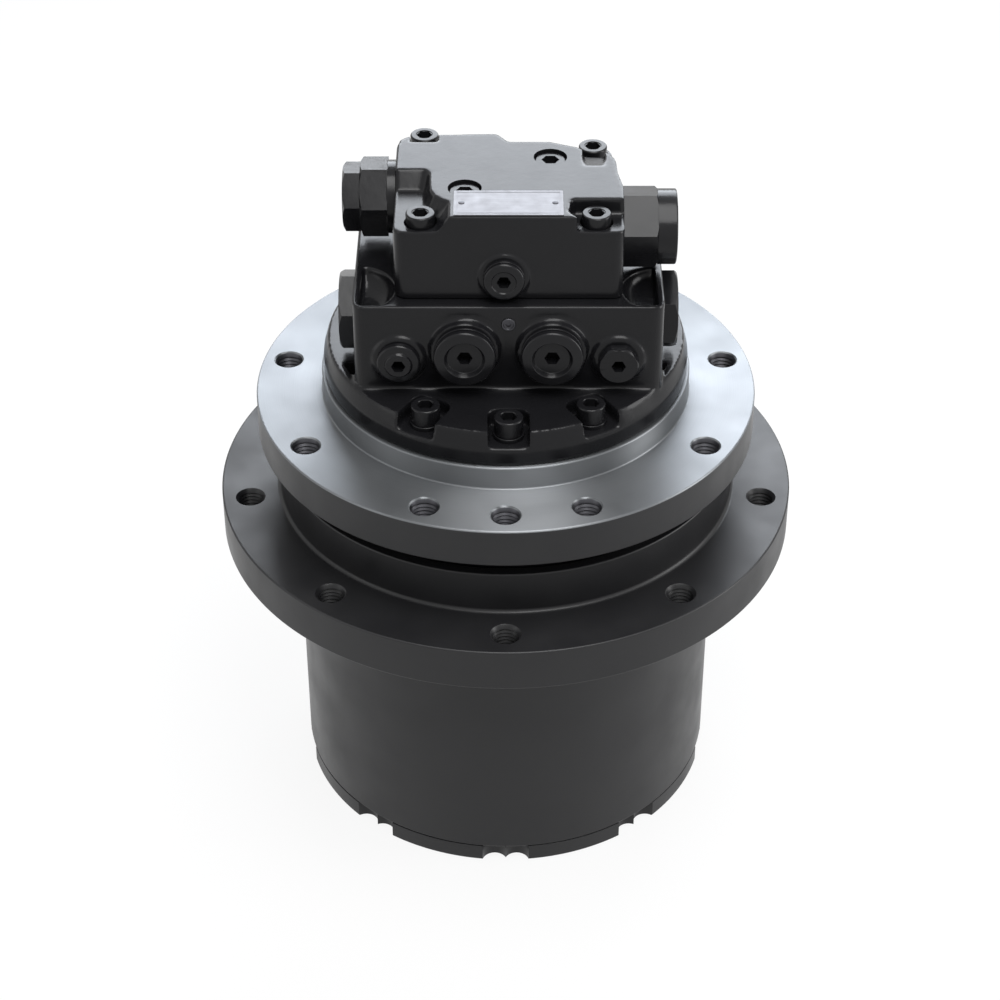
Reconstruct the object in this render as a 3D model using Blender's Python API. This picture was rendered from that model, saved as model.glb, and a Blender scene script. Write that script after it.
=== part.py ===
"""Excavator final drive: a hydraulic track motor on a two-stage planetary hub.

Lengths are in metres. +Z is up, along the hub's axis, and -Y is the front, where the oil ports are.
The origin is the middle of the end cover's outer face, on which the drive stands.
The hub's ring gear, the two planetary stages, the motor's rotating group and its parking brake are in it.
"""
import math

import bmesh
import bpy
from mathutils import Matrix, Vector

# Gaps that separate pieces, and the overrun of a cut past a face
FACE_GAP = 0.0003
PLATE_CLEARANCE = 0.002
FLANK_CLEARANCE = 0.0002
LABYRINTH_CLEARANCE = 0.003
CUT_OVERRUN = 0.002

# Facets around turned pieces: the rims that show, the hub's bore, the motor's parts, plugs, holes, pistons
RIM_SIDES = 48
CORE_SIDES = 20
MOTOR_SIDES = 16
PLUG_SIDES = 14
SMALL_SIDES = 10
HOLE_SIDES = 8
PISTON_SIDES = 6
SECTION_SIDES = 6
HEXAGON_SIDES = 6

# Steps along the arcs of outlines
SCALLOP_STEPS = 4
KIDNEY_STEPS = 6
POCKET_STEPS = 6
SHOULDER_STEPS = 8
CORNER_STEPS = 3

# Points that a cut leaves closer than this are one, and edges sharper than this angle stay sharp
WELD_DISTANCE = 0.00002
SHARP_EDGE_DEG = 30.0

# Gear train
MODULE = 0.0035
PRESSURE_DEG = 25.0
TIP_SHARE = 1.0
ROOT_SHARE = 1.25
RING_TEETH = 54
SUN_ONE_TEETH = 12
SUN_TWO_TEETH = 18
PLANET_COUNT = 3
STAGE_ONE_WIDTH = 0.026
STAGE_TWO_WIDTH = 0.038
CARRIER_ONE_THICKNESS = 0.009
CARRIER_TWO_THICKNESS = 0.012
CARRIER_RIM_CLEARANCE = 0.006
PIN_ONE_RADIUS = 0.011
PIN_TWO_RADIUS = 0.013
SUN_STEM_RADIUS = 0.008
SUN_BORE_CLEARANCE = 0.0025
SUN_TWO_HUB_RADIUS = 0.020

# Hub housing
RING_WALL = 0.0265
EDGE_CHAMFER = 0.0015
RELIEF_DEPTH = 0.002
SPROCKET_FLANGE_WIDTH = 0.0439
SPROCKET_FLANGE_THICKNESS = 0.0261
SPROCKET_HOLE_EDGE = 0.0163
SPROCKET_HOLE_RADIUS = 0.008
SPROCKET_HOLES = 9
NECK_RADIUS = 0.134
NECK_HEIGHT = 0.0266
NECK_WALL = 0.0062
BEARING_LIP_THICKNESS = 0.005
BEARING_LIP_HEIGHT = 0.006
BEARING_TO_FLANGE = 0.0049

# End cover
END_COVER_THICKNESS = 0.011
END_COVER_SPIGOT = 0.006
SCALLOP_RADIUS = 0.0075
SCALLOP_SPACING = 0.0134
SCALLOP_DEPTH = 0.0065
RIM_LAND_SHARES = (0.25, 0.5, 0.75)
COVER_PLUG_COUNT = 2
COVER_PLUG_RADIUS = 0.011
COVER_PLUG_PLACE_RADIUS = 0.072
COVER_PLUG_RECESS = 0.002

# Main bearings, their nut and the floating seal
BEARING_SEAT_RADIUS = 0.075
BEARING_WIDTH = 0.024
BEARING_RACE_THICKNESS = 0.006
BALL_RADIUS = 0.0067
BALL_CLEARANCE = 0.0006
BALLS_PER_ROW = 15
CAGE_SHARE = 0.45
NUT_WIDTH = 0.012
NUT_WALL = 0.0105
NUT_SLOTS = 8
NUT_SLOT_DEPTH = 0.004
NUT_LAND_SHARE = 0.6
NUT_FLANK_SHARE = 0.05
SHOULDER_HEIGHT = 0.007
SEAL_RING_HEIGHT = 0.016
SEAL_RING_WALL = 0.008
SEAL_RING_LIP = 0.0045
SEAL_FLOOR_CLEARANCE = 0.003
TORIC_RADIUS = 0.0033

# Frame flange and spindle
SEAL_SLOT_HEIGHT = 0.0144
FRAME_FLANGE_RADIUS = 0.145
FRAME_FLANGE_THICKNESS = 0.0236
FRAME_HOLE_EDGE = 0.015
FRAME_HOLE_RADIUS = 0.008
FRAME_HOLE_DEPTH = 0.021
FRAME_HOLE_DEGREES = (0, 20, 60, 100, 140, 180, -140, -100, -60, -20)
PILOT_RADIUS = 0.1065
PILOT_HEIGHT = 0.014
SKIRT_WALL = 0.010
SEAL_CORE_RADIUS = 0.092
BRAKE_BORE_RADIUS = 0.080
MOTOR_CAVITY_RADIUS = 0.057

# Motor shaft, its bearings and seal
SHAFT_RADIUS = 0.013
SHAFT_BEARING_WALL = 0.009
SHAFT_BEARING_WIDTH = 0.015
SHAFT_SEAL_WALL = 0.006
SHAFT_SEAL_WIDTH = 0.008
SHAFT_HOLE_CLEARANCE = 0.003
STEM_ENGAGEMENT = 0.024
SHAFT_END_CLEARANCE = 0.006

# Rotating group of the motor
BLOCK_RADIUS = 0.042
BLOCK_LENGTH = 0.060
PISTON_COUNT = 7
PISTON_CIRCLE_RADIUS = 0.028
PISTON_RADIUS = 0.0068
PISTON_NECK_RADIUS = 0.004
PISTON_BALL_RADIUS = 0.0056
PISTON_BALL_CAP_SHARE = 0.7
PISTON_REACH = 0.014
SWASH_TILT_DEG = 7.0
SWASH_THICKNESS = 0.012
SWASH_RADIUS = 0.050
SHOE_RADIUS = 0.009
SHOE_CLEARANCE = 0.0005
SHOE_FOOT = 0.003
RETAINER_RADIUS = 0.038
RETAINER_THICKNESS = 0.003
RETAINER_LIFT = 0.0045
VALVE_PLATE_THICKNESS = 0.0057
VALVE_PORT_WIDTH = 0.009
PORT_START_DEG = 20.0
PORT_SWEEP_DEG = 140.0

# Parking brake
BRAKE_DISC_THICKNESS = 0.003
BRAKE_DISC_RADIUS = 0.070
SEPARATOR_BORE_RADIUS = 0.050
BRAKE_PISTON_HEIGHT = 0.013
BRAKE_PISTON_WALL = 0.022
BRAKE_SPRING_HEIGHT = 0.008
BRAKE_SPRING_PLATE = 0.003

# Motor cover casting
COVER_RADIUS = 0.105
COVER_LIP_HEIGHT = 0.010
COVER_TOP_RADIUS = 0.1022
COVER_HEIGHT = 0.0207
COVER_SPIGOT_LENGTH = 0.008
CASTING_OFFSET = 0.0015
PORT_BLOCK_WIDTH = 0.171
PORT_BLOCK_FRONT = 0.060
PORT_BLOCK_REAR = 0.060
PORT_BLOCK_HEIGHT = 0.0535
PORT_BLOCK_CORNER = 0.006
SHOULDER_POCKET_RADIUS = 0.022
SHOULDER_POCKET_WALL = 0.0035
SHOULDER_POCKET_DEPTH = 0.010
SHOULDER_POCKET_SETBACK = 0.020
SIDE_POCKET_WALL = 0.0047
SIDE_POCKET_FRONT = 0.054
SIDE_POCKET_REAR = 0.033
SIDE_POCKET_OVERLAP = 0.020
COVER_SCREW_CIRCLE_RADIUS = 0.091
COVER_SCREW_DEGREES = (-30, 0, 30)
COVER_SCREW_CLOCK_DEG = 1.0
COVER_POCKET_WIDTH = 0.023
COVER_POCKET_DEPTH = 0.0094

# Screws, plugs and their sockets
SCREW_HEAD_RADIUS = 0.008
SCREW_HEAD_HEIGHT = 0.010
SCREW_SHANK_RADIUS = 0.005
SCREW_SHANK_LENGTH = 0.018
VALVE_SCREW_LENGTH = 0.050
SCREW_WASHER_RADIUS = 0.0088
SCREW_WASHER_THICKNESS = 0.0025
LARGE_BOSS_RADIUS = 0.019
LARGE_BOSS_LENGTH = 0.005
LARGE_PLUG_RADIUS = 0.0171
LARGE_PLUG_LENGTH = 0.007
LARGE_SOCKET_RADIUS = 0.0055
SMALL_BOSS_RADIUS = 0.0145
SMALL_BOSS_LENGTH = 0.0025
SMALL_PLUG_RADIUS = 0.012
SMALL_PLUG_LENGTH = 0.006
SMALL_SOCKET_RADIUS = 0.0045
PLUG_THREAD_LENGTH = 0.010
PLUG_THREAD_SHARE = 0.72
PLUG_CHAMFER = 0.00075
LARGE_PORT_SPACING = 0.0479
LARGE_PORT_HEIGHT = 0.0268
SMALL_PORT_SPACING = 0.121
SMALL_PORT_HEIGHT = 0.0205
GAUGE_PLUG_HEIGHT = 0.0145
GAUGE_PLUG_RADIUS = 0.0113
GAUGE_PLUG_SHIFT = -0.0025
ORIFICE_HEIGHT = 0.0106
ORIFICE_RADIUS = 0.0035

# Side relief valves
RELIEF_HEX_RADIUS = 0.0234
RELIEF_HEX_LENGTH = 0.009
RELIEF_STUB_RADIUS = 0.012
RELIEF_STUB_LENGTH = 0.012
RELIEF_SETBACK = 0.040
RELIEF_DROP = 0.026
RELIEF_TURN_DEG = -8.0

# Brake valve block
VALVE_BLOCK_HEIGHT = 0.0512
VALVE_BLOCK_WIDTH = 0.125
VALVE_BLOCK_FRONT = 0.052
VALVE_BLOCK_REAR = 0.0415
CORNER_LEDGE_DEPTH = 0.0093
LEFT_LEDGE_WIDTH = 0.0195
LEFT_LEDGE_LENGTH = 0.0495
RIGHT_LEDGE_WIDTH = 0.029
RIGHT_LEDGE_LENGTH = 0.020
LEDGE_CORNER = 0.009
REAR_STEP_WIDTH = 0.065
REAR_STEP_DEPTH = 0.009
REAR_CORNER = 0.015
LUG_RADIUS = 0.0105
NOTCH_WIDTH = 0.0153
NOTCH_LENGTH = 0.017
VALVE_SCREW_SPREAD_X = 0.0475
VALVE_SCREW_FRONT = 0.041
VALVE_SCREW_REAR_LEFT = 0.0463
VALVE_SCREW_REAR_RIGHT = 0.0332
SPOTFACE_DEPTH = 0.0038
SPOTFACE_CLEARANCE = 0.001
RAMP_WIDTH = 0.012
RAMP_LENGTH = 0.022
TOP_PLUG_RADIUS = 0.0089
TOP_PLUG_LENGTH = 0.006
TOP_PLUG_RECESS = 0.003
TOP_PLUG_SOCKET_RADIUS = 0.005
LEFT_TOP_PLUG = (-0.0238, -0.0202)
RIGHT_TOP_PLUG = (0.0233, 0.0144)
NAMEPLATE_LENGTH = 0.059
NAMEPLATE_DEPTH = 0.026
NAMEPLATE_THICKNESS = 0.0008
NAMEPLATE_SETBACK = 0.0148

# Spool, its cap, and the cartridge valve on the other side
SPOOL_RADIUS = 0.0085
SPOOL_GROOVE_RADIUS = 0.0055
SPOOL_LENGTH = 0.078
SPOOL_LAND_SHARE = 0.125
SPOOL_CLEARANCE = 0.0004
SPOOL_STROKE = 0.004
SPOOL_END_ROOM = 0.007
SPOOL_PLACE_Y = 0.0135
SPOOL_BELOW_TOP = 0.0245
CAP_RING_LENGTH = 0.004
CAP_HEX_RADIUS = 0.023
CAP_HEX_LENGTH = 0.015
CAP_END_RADIUS = 0.0197
CAP_END_LENGTH = 0.0105
CAP_STUB_RADIUS = 0.014
CAP_STUB_LENGTH = 0.008
CAP_BORE_RADIUS = 0.0095
CAP_TURN_DEG = -8.0
CARTRIDGE_PLACE_Y = -0.0193
CARTRIDGE_HEX_LENGTH = 0.018
CARTRIDGE_END_RADIUS = 0.0208
CARTRIDGE_END_LENGTH = 0.0115

FINISHES = {
    "gloss_black": ((0.012, 0.012, 0.014), 0.18, 0.0),
    "satin_black": ((0.045, 0.045, 0.048), 0.38, 0.0),
    "bare_steel": ((0.60, 0.61, 0.63), 0.30, 1.0),
    "dark_steel": ((0.10, 0.10, 0.11), 0.40, 1.0),
    "gear_steel": ((0.36, 0.36, 0.38), 0.32, 1.0),
    "bronze": ((0.55, 0.36, 0.16), 0.35, 1.0),
    "rubber": ((0.03, 0.03, 0.03), 0.70, 0.0),
    "friction": ((0.16, 0.13, 0.10), 0.80, 0.0),
    "plate": ((0.80, 0.80, 0.79), 0.28, 1.0),
}

# Radii of the gears
PLANET_ONE_TEETH = (RING_TEETH - SUN_ONE_TEETH) // 2
PLANET_TWO_TEETH = (RING_TEETH - SUN_TWO_TEETH) // 2
RING_PITCH = MODULE * RING_TEETH / 2
RING_TIP = RING_PITCH - TIP_SHARE * MODULE
RING_ROOT = RING_PITCH + ROOT_SHARE * MODULE
STAGE_ONE_CENTRES = MODULE * (SUN_ONE_TEETH + PLANET_ONE_TEETH) / 2
STAGE_TWO_CENTRES = MODULE * (SUN_TWO_TEETH + PLANET_TWO_TEETH) / 2
CARRIER_RADIUS = RING_TIP - CARRIER_RIM_CLEARANCE

# Radii of the casing, from the ring gear and the neck
DRUM_RADIUS = RING_ROOT + RING_WALL
SPROCKET_FLANGE_RADIUS = DRUM_RADIUS + SPROCKET_FLANGE_WIDTH
SPROCKET_HOLE_CIRCLE_RADIUS = SPROCKET_FLANGE_RADIUS - SPROCKET_HOLE_EDGE
FRAME_HOLE_CIRCLE_RADIUS = FRAME_FLANGE_RADIUS - FRAME_HOLE_EDGE
SPIGOT_BORE = RING_ROOT + RELIEF_DEPTH
NECK_BORE = NECK_RADIUS - NECK_WALL
SKIRT_OUTER = NECK_BORE - LABYRINTH_CLEARANCE
SKIRT_INNER = SKIRT_OUTER - SKIRT_WALL
INNER_RACE_BORE = BEARING_SEAT_RADIUS + FACE_GAP
INNER_RACE_OUTER = INNER_RACE_BORE + BEARING_RACE_THICKNESS
BALL_CIRCLE = INNER_RACE_OUTER + BALL_CLEARANCE + BALL_RADIUS
OUTER_RACE_BORE = (BALL_CIRCLE + BALL_RADIUS + BALL_CLEARANCE) / math.cos(math.pi / CORE_SIDES)
OUTER_RACE_OUTER = OUTER_RACE_BORE + BEARING_RACE_THICKNESS
BEARING_BORE = OUTER_RACE_OUTER + FACE_GAP
BEARING_LIP_RADIUS = BEARING_BORE - BEARING_LIP_THICKNESS

# Heights from the bottom up: the gear train and the bearings set the drum's length
DRUM_BOTTOM = END_COVER_THICKNESS + FACE_GAP
SPIGOT_TOP = END_COVER_THICKNESS + END_COVER_SPIGOT
STAGE_ONE_LOW = SPIGOT_TOP + PLATE_CLEARANCE
STAGE_ONE_HIGH = STAGE_ONE_LOW + STAGE_ONE_WIDTH
CARRIER_ONE_LOW = STAGE_ONE_HIGH + PLATE_CLEARANCE
CARRIER_ONE_HIGH = CARRIER_ONE_LOW + CARRIER_ONE_THICKNESS
STAGE_TWO_LOW = CARRIER_ONE_HIGH + PLATE_CLEARANCE
STAGE_TWO_HIGH = STAGE_TWO_LOW + STAGE_TWO_WIDTH
CARRIER_TWO_LOW = STAGE_TWO_HIGH + PLATE_CLEARANCE
CARRIER_TWO_HIGH = CARRIER_TWO_LOW + CARRIER_TWO_THICKNESS
SPINDLE_BOTTOM = CARRIER_TWO_HIGH + FACE_GAP
NUT_HIGH = SPINDLE_BOTTOM + NUT_WIDTH
LOWER_BEARING_LOW = NUT_HIGH + FACE_GAP
UPPER_BEARING_LOW = LOWER_BEARING_LOW + BEARING_WIDTH + FACE_GAP
UPPER_BEARING_HIGH = UPPER_BEARING_LOW + BEARING_WIDTH
SPINDLE_SHOULDER = UPPER_BEARING_HIGH + FACE_GAP
SPROCKET_FLANGE_LOW = UPPER_BEARING_HIGH + BEARING_TO_FLANGE
SPROCKET_FLANGE_HIGH = SPROCKET_FLANGE_LOW + SPROCKET_FLANGE_THICKNESS
NECK_TOP = SPROCKET_FLANGE_HIGH + NECK_HEIGHT
FRAME_FLANGE_LOW = NECK_TOP + SEAL_SLOT_HEIGHT
FRAME_FLANGE_HIGH = FRAME_FLANGE_LOW + FRAME_FLANGE_THICKNESS
PILOT_TOP = FRAME_FLANGE_HIGH + PILOT_HEIGHT
SEAL_FACE = SPROCKET_FLANGE_HIGH
LOWER_SEAL_FLOOR = SEAL_FACE - SEAL_RING_HEIGHT - SEAL_FLOOR_CLEARANCE
UPPER_SEAL_FLOOR = SEAL_FACE + FACE_GAP + SEAL_RING_HEIGHT + SEAL_FLOOR_CLEARANCE
SKIRT_BOTTOM = SEAL_FACE + LABYRINTH_CLEARANCE

# Heights from the pilot down: the motor inside the spindle
COVER_LOW = PILOT_TOP + FACE_GAP
COVER_TOP = COVER_LOW + COVER_HEIGHT
PORT_BLOCK_TOP = COVER_TOP + PORT_BLOCK_HEIGHT
VALVE_BLOCK_LOW = PORT_BLOCK_TOP + FACE_GAP
VALVE_BLOCK_TOP = VALVE_BLOCK_LOW + VALVE_BLOCK_HEIGHT
COVER_SPIGOT_LOW = COVER_LOW - COVER_SPIGOT_LENGTH
VALVE_PLATE_LOW = COVER_SPIGOT_LOW - FACE_GAP - VALVE_PLATE_THICKNESS
BLOCK_HIGH = VALVE_PLATE_LOW - FACE_GAP
BLOCK_LOW = BLOCK_HIGH - BLOCK_LENGTH
BALL_PLANE = BLOCK_LOW - PISTON_REACH
SWASH_TILT = math.radians(SWASH_TILT_DEG)
BALL_RISE = PISTON_CIRCLE_RADIUS * math.sin(SWASH_TILT)
CUP_DEPTH = PISTON_BALL_RADIUS + BALL_RISE + FACE_GAP
SHOE_DROP = CUP_DEPTH + SHOE_FOOT
SWASH_CENTRE = BALL_PLANE - (SHOE_DROP + FACE_GAP) / math.cos(SWASH_TILT)
CAVITY_FLOOR = SWASH_CENTRE - SWASH_THICKNESS - FACE_GAP
SPRING_LOW = COVER_SPIGOT_LOW - FACE_GAP - BRAKE_SPRING_HEIGHT
BRAKE_PISTON_LOW = SPRING_LOW - FACE_GAP - BRAKE_PISTON_HEIGHT
SEPARATOR_LOW = BRAKE_PISTON_LOW - FACE_GAP - BRAKE_DISC_THICKNESS
FRICTION_LOW = SEPARATOR_LOW - FACE_GAP - BRAKE_DISC_THICKNESS
BRAKE_FLOOR = FRICTION_LOW - FACE_GAP
SHAFT_BEARING_LOW = CAVITY_FLOOR - SHAFT_BEARING_WIDTH - FACE_GAP
SHAFT_SEAL_LOW = SHAFT_BEARING_LOW - FACE_GAP - SHAFT_SEAL_WIDTH
SHAFT_BOTTOM = SPINDLE_BOTTOM + SHAFT_END_CLEARANCE
UPPER_SHAFT_BEARING_LOW = COVER_LOW - COVER_SPIGOT_LENGTH + FACE_GAP
SHAFT_TOP = UPPER_SHAFT_BEARING_LOW + SHAFT_BEARING_WIDTH
SPOOL_PLACE_Z = VALVE_BLOCK_TOP - SPOOL_BELOW_TOP

# Sides of the port block and of the valve block, and the relief valves' place in the port block's sides
BLOCK_LEFT = CASTING_OFFSET - PORT_BLOCK_WIDTH / 2
BLOCK_RIGHT = CASTING_OFFSET + PORT_BLOCK_WIDTH / 2
VALVE_LEFT = CASTING_OFFSET - VALVE_BLOCK_WIDTH / 2
VALVE_RIGHT = CASTING_OFFSET + VALVE_BLOCK_WIDTH / 2
RELIEF_PLACE_Y = RELIEF_SETBACK - PORT_BLOCK_FRONT
RELIEF_PLACE_Z = PORT_BLOCK_TOP - RELIEF_DROP


def outscribed(radius, sides):
    """Radius of a polygon's corners whose flats lie on the given radius."""
    return radius / math.cos(math.pi / sides)


def circle_points(radius, sides, centre=(0.0, 0.0), turn=0.0):
    """Corners of a regular polygon, the first at the angle turn."""
    points = []
    for step in range(sides):
        angle = turn + math.tau * step / sides
        points.append((centre[0] + radius * math.cos(angle), centre[1] + radius * math.sin(angle)))
    return points


def arc(centre, radius, start, sweep, steps):
    """Points along an arc that begins at the angle start and turns by the sweep."""
    points = []
    for step in range(steps + 1):
        angle = start + sweep * step / steps
        points.append((centre[0] + radius * math.cos(angle), centre[1] + radius * math.sin(angle)))
    return points


def around(centre_radius, count, start=0.0):
    """Angle and place of each of count points, evenly spread on a circle about Z."""
    places = []
    for step in range(count):
        angle = start + math.tau * step / count
        places.append((angle, centre_radius * math.cos(angle), centre_radius * math.sin(angle)))
    return places


def turned(profile, sides):
    """Spin an outline of (radius, height) points about Z into one closed mesh.

    An outline that starts and ends on the axis is closed by it. Any other is a ring's section.
    """
    mesh = bmesh.new()
    rings = []
    for radius, height in profile:
        if radius == 0:
            rings.append([mesh.verts.new((0, 0, height))])
        else:
            rings.append([mesh.verts.new((x, y, height)) for x, y in circle_points(radius, sides)])
    pairs = list(zip(rings, rings[1:]))
    if profile[0][0] > 0:
        pairs.append((rings[-1], rings[0]))
    for lower, upper in pairs:
        for step in range(sides):
            after = (step + 1) % sides
            corners = [
                lower[step % len(lower)],
                lower[after % len(lower)],
                upper[after % len(upper)],
                upper[step % len(upper)],
            ]
            corners = list(dict.fromkeys(corners))
            if len(corners) > 2:
                mesh.faces.new(corners)
    bmesh.ops.recalc_face_normals(mesh, faces=mesh.faces)
    return mesh


def prism(outlines, low, high):
    """Extrude an outline of (x, y) points between two heights.

    Any further outlines are holes through it.
    """
    mesh = bmesh.new()
    rims = {low: [], high: []}
    for outline in outlines:
        loops = {}
        for height in (low, high):
            loops[height] = [mesh.verts.new((x, y, height)) for x, y in outline]
        count = len(outline)
        for step in range(count):
            after = (step + 1) % count
            mesh.faces.new((loops[low][step], loops[low][after], loops[high][after], loops[high][step]))
        for height in (low, high):
            loop = loops[height]
            for step in range(count):
                rims[height].append(mesh.edges.get((loop[step], loop[(step + 1) % count])))
    for height in (low, high):
        bmesh.ops.triangle_fill(mesh, use_beauty=True, edges=rims[height])
    bmesh.ops.recalc_face_normals(mesh, faces=mesh.faces)
    return mesh


def box(low, high):
    """A rectangular block between two corners."""
    outline = [(low[0], low[1]), (high[0], low[1]), (high[0], high[1]), (low[0], high[1])]
    return prism([outline], low[2], high[2])


def tube(outer, bore, low, high, sides):
    """A plain ring."""
    return turned([(bore, low), (outer, low), (outer, high), (bore, high)], sides)


def rod(radius, low, high, sides=SMALL_SIDES):
    """A plain cylinder about Z."""
    return turned([(0, low), (radius, low), (radius, high), (0, high)], sides)


def moved(mesh, place=(0, 0, 0), turn=None):
    """Turn a mesh by a rotation matrix, then move it."""
    if turn is not None:
        bmesh.ops.transform(mesh, matrix=turn, verts=mesh.verts)
    bmesh.ops.translate(mesh, vec=Vector(place), verts=mesh.verts)
    return mesh


def gathered(meshes):
    """Put several closed bodies in one mesh, to serve as one cutter."""
    whole = bmesh.new()
    for part in meshes:
        piece = bpy.data.meshes.new("piece")
        part.to_mesh(piece)
        part.free()
        whole.from_mesh(piece)
        bpy.data.meshes.remove(piece)
    return whole


FACING = {
    "up": Matrix.Identity(4),
    "down": Matrix.Rotation(math.pi, 4, "X"),
    "front": Matrix.Rotation(math.pi / 2, 4, "X"),
    "left": Matrix.Rotation(-math.pi / 2, 4, "Y"),
    "right": Matrix.Rotation(math.pi / 2, 4, "Y"),
}


def finish_of(name, kind):
    """The piece's own Principled material."""
    colour, roughness, metallic = FINISHES[kind]
    material = bpy.data.materials.new(name + "_finish")
    material.use_nodes = True
    shader = material.node_tree.nodes["Principled BSDF"]
    shader.inputs["Base Color"].default_value = (*colour, 1)
    shader.inputs["Roughness"].default_value = roughness
    shader.inputs["Metallic"].default_value = metallic
    return material


def make_object(name, mesh, kind=None):
    """Turn a bmesh into a scene object, shaded smooth between its sharp edges."""
    data = bpy.data.meshes.new(name)
    mesh.to_mesh(data)
    mesh.free()
    data.shade_smooth()
    data.set_sharp_from_angle(angle=math.radians(SHARP_EDGE_DEG))
    made = bpy.data.objects.new(name, data)
    bpy.context.scene.collection.objects.link(made)
    if kind:
        data.materials.append(finish_of(name, kind))
    return made


def combine(target, mesh, operation, name):
    """Add a Boolean with a hidden tool made from the mesh."""
    tool = make_object(target.name + "_" + name, mesh)
    tool.hide_render = True
    tool.display_type = "WIRE"
    tool.parent = target
    modifier = target.modifiers.new(name, "BOOLEAN")
    modifier.operation = operation
    modifier.solver = "EXACT"
    modifier.object = tool
    weld = target.modifiers.new(name + "_weld", "WELD")
    weld.merge_threshold = WELD_DISTANCE


def cut(target, mesh, name):
    """Remove the mesh's volume from the target."""
    combine(target, mesh, "DIFFERENCE", name)


def fuse(target, mesh, name):
    """Join the mesh's volume to the target."""
    combine(target, mesh, "UNION", name)


def place(piece, location, facing="up"):
    """Put a piece that was made facing up where it belongs."""
    piece.location = location
    piece.rotation_euler = FACING[facing].to_euler()
    return piece


def involute(radius, base):
    """Polar angle by which an involute has turned at a radius."""
    pressure = math.acos(base / radius)
    return math.tan(pressure) - pressure


def gear_outline(teeth, turn, inner=False):
    """A gear's outline, six points for each tooth, with one tooth's middle at the angle turn.

    An inner outline is the cavity of a ring gear: its teeth are the spaces, deeper than they are proud,
    and its flanks, which hardly curve, are straight.
    """
    pitch = MODULE * teeth / 2
    base = pitch * math.cos(math.radians(PRESSURE_DEG))
    tip = pitch + (ROOT_SHARE if inner else TIP_SHARE) * MODULE
    root = pitch - (TIP_SHARE if inner else ROOT_SHARE) * MODULE
    clearance = FLANK_CLEARANCE if inner else -FLANK_CLEARANCE
    half = math.pi / (2 * teeth) + clearance / pitch + involute(pitch, base)
    flank = []
    for radius in (root, tip) if inner else (root, pitch, tip):
        flank.append((radius, half - involute(max(radius, base), base)))
    points = []
    for tooth in range(teeth):
        middle = turn + math.tau * tooth / teeth
        for radius, angle in flank:
            points.append((radius * math.cos(middle - angle), radius * math.sin(middle - angle)))
        for radius, angle in reversed(flank):
            points.append((radius * math.cos(middle + angle), radius * math.sin(middle + angle)))
    return points


def planet_turn(place_angle, teeth):
    """Angle of a tooth's middle on a planet that meshes with the ring gear.

    The ring gear's first space is at angle zero.
    """
    return place_angle * (1 - RING_TEETH / teeth)


def sun_turn(sun_teeth, planet_teeth):
    """Angle of a tooth's middle on a sun that meshes with the planet at angle zero."""
    return math.pi * (planet_teeth - 1) / sun_teeth


def planet(name, teeth, place_angle, centres, pin_radius, low, high):
    """One planet gear with its running bore, its origin on its own pin's axis."""
    bore = outscribed(pin_radius + FACE_GAP, SMALL_SIDES)
    outlines = [gear_outline(teeth, planet_turn(place_angle, teeth)), circle_points(bore, SMALL_SIDES)]
    piece = make_object(name, prism(outlines, 0, high - low), "gear_steel")
    return place(piece, (centres * math.cos(place_angle), centres * math.sin(place_angle), low))


def make_planets():
    """Both stages' planets, evenly spread about the suns."""
    for step in range(PLANET_COUNT):
        angle = math.tau * step / PLANET_COUNT
        planet("planet_one_%d" % (step + 1), PLANET_ONE_TEETH, angle, STAGE_ONE_CENTRES, PIN_ONE_RADIUS,
               STAGE_ONE_LOW, STAGE_ONE_HIGH)
        planet("planet_two_%d" % (step + 1), PLANET_TWO_TEETH, angle, STAGE_TWO_CENTRES, PIN_TWO_RADIUS,
               STAGE_TWO_LOW, STAGE_TWO_HIGH)


def make_suns():
    """The first sun with its long stem up to the motor shaft, and the hollow second sun around the stem."""
    outline = gear_outline(SUN_ONE_TEETH, sun_turn(SUN_ONE_TEETH, PLANET_ONE_TEETH))
    sun = make_object("sun_gear_one", prism([outline], STAGE_ONE_LOW, STAGE_ONE_HIGH), "gear_steel")
    stem_low = SPIGOT_TOP + FACE_GAP
    fuse(sun, rod(SUN_STEM_RADIUS, stem_low, SHAFT_BOTTOM + STEM_ENGAGEMENT), "stem")

    outline = gear_outline(SUN_TWO_TEETH, sun_turn(SUN_TWO_TEETH, PLANET_TWO_TEETH))
    sun = make_object("sun_gear_two", prism([outline], STAGE_TWO_LOW, STAGE_TWO_HIGH), "gear_steel")
    fuse(sun, rod(SUN_TWO_HUB_RADIUS, CARRIER_ONE_LOW, STAGE_TWO_LOW + CUT_OVERRUN, CORE_SIDES), "hub")
    bore = SUN_STEM_RADIUS + SUN_BORE_CLEARANCE
    cut(sun, rod(bore, CARRIER_ONE_LOW - CUT_OVERRUN, STAGE_TWO_HIGH + CUT_OVERRUN), "bore")


def carrier(name, low, high, bore, centres, pin_radius, pin_low):
    """A carrier plate with its planets' pins hanging from it."""
    piece = make_object(name, tube(CARRIER_RADIUS, bore, low, high, CORE_SIDES), "dark_steel")
    pins = []
    for angle, x, y in around(centres, PLANET_COUNT):
        pins.append(moved(rod(pin_radius, pin_low, high - FACE_GAP), (x, y, 0)))
    fuse(piece, gathered(pins), "pins")
    return piece


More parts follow.
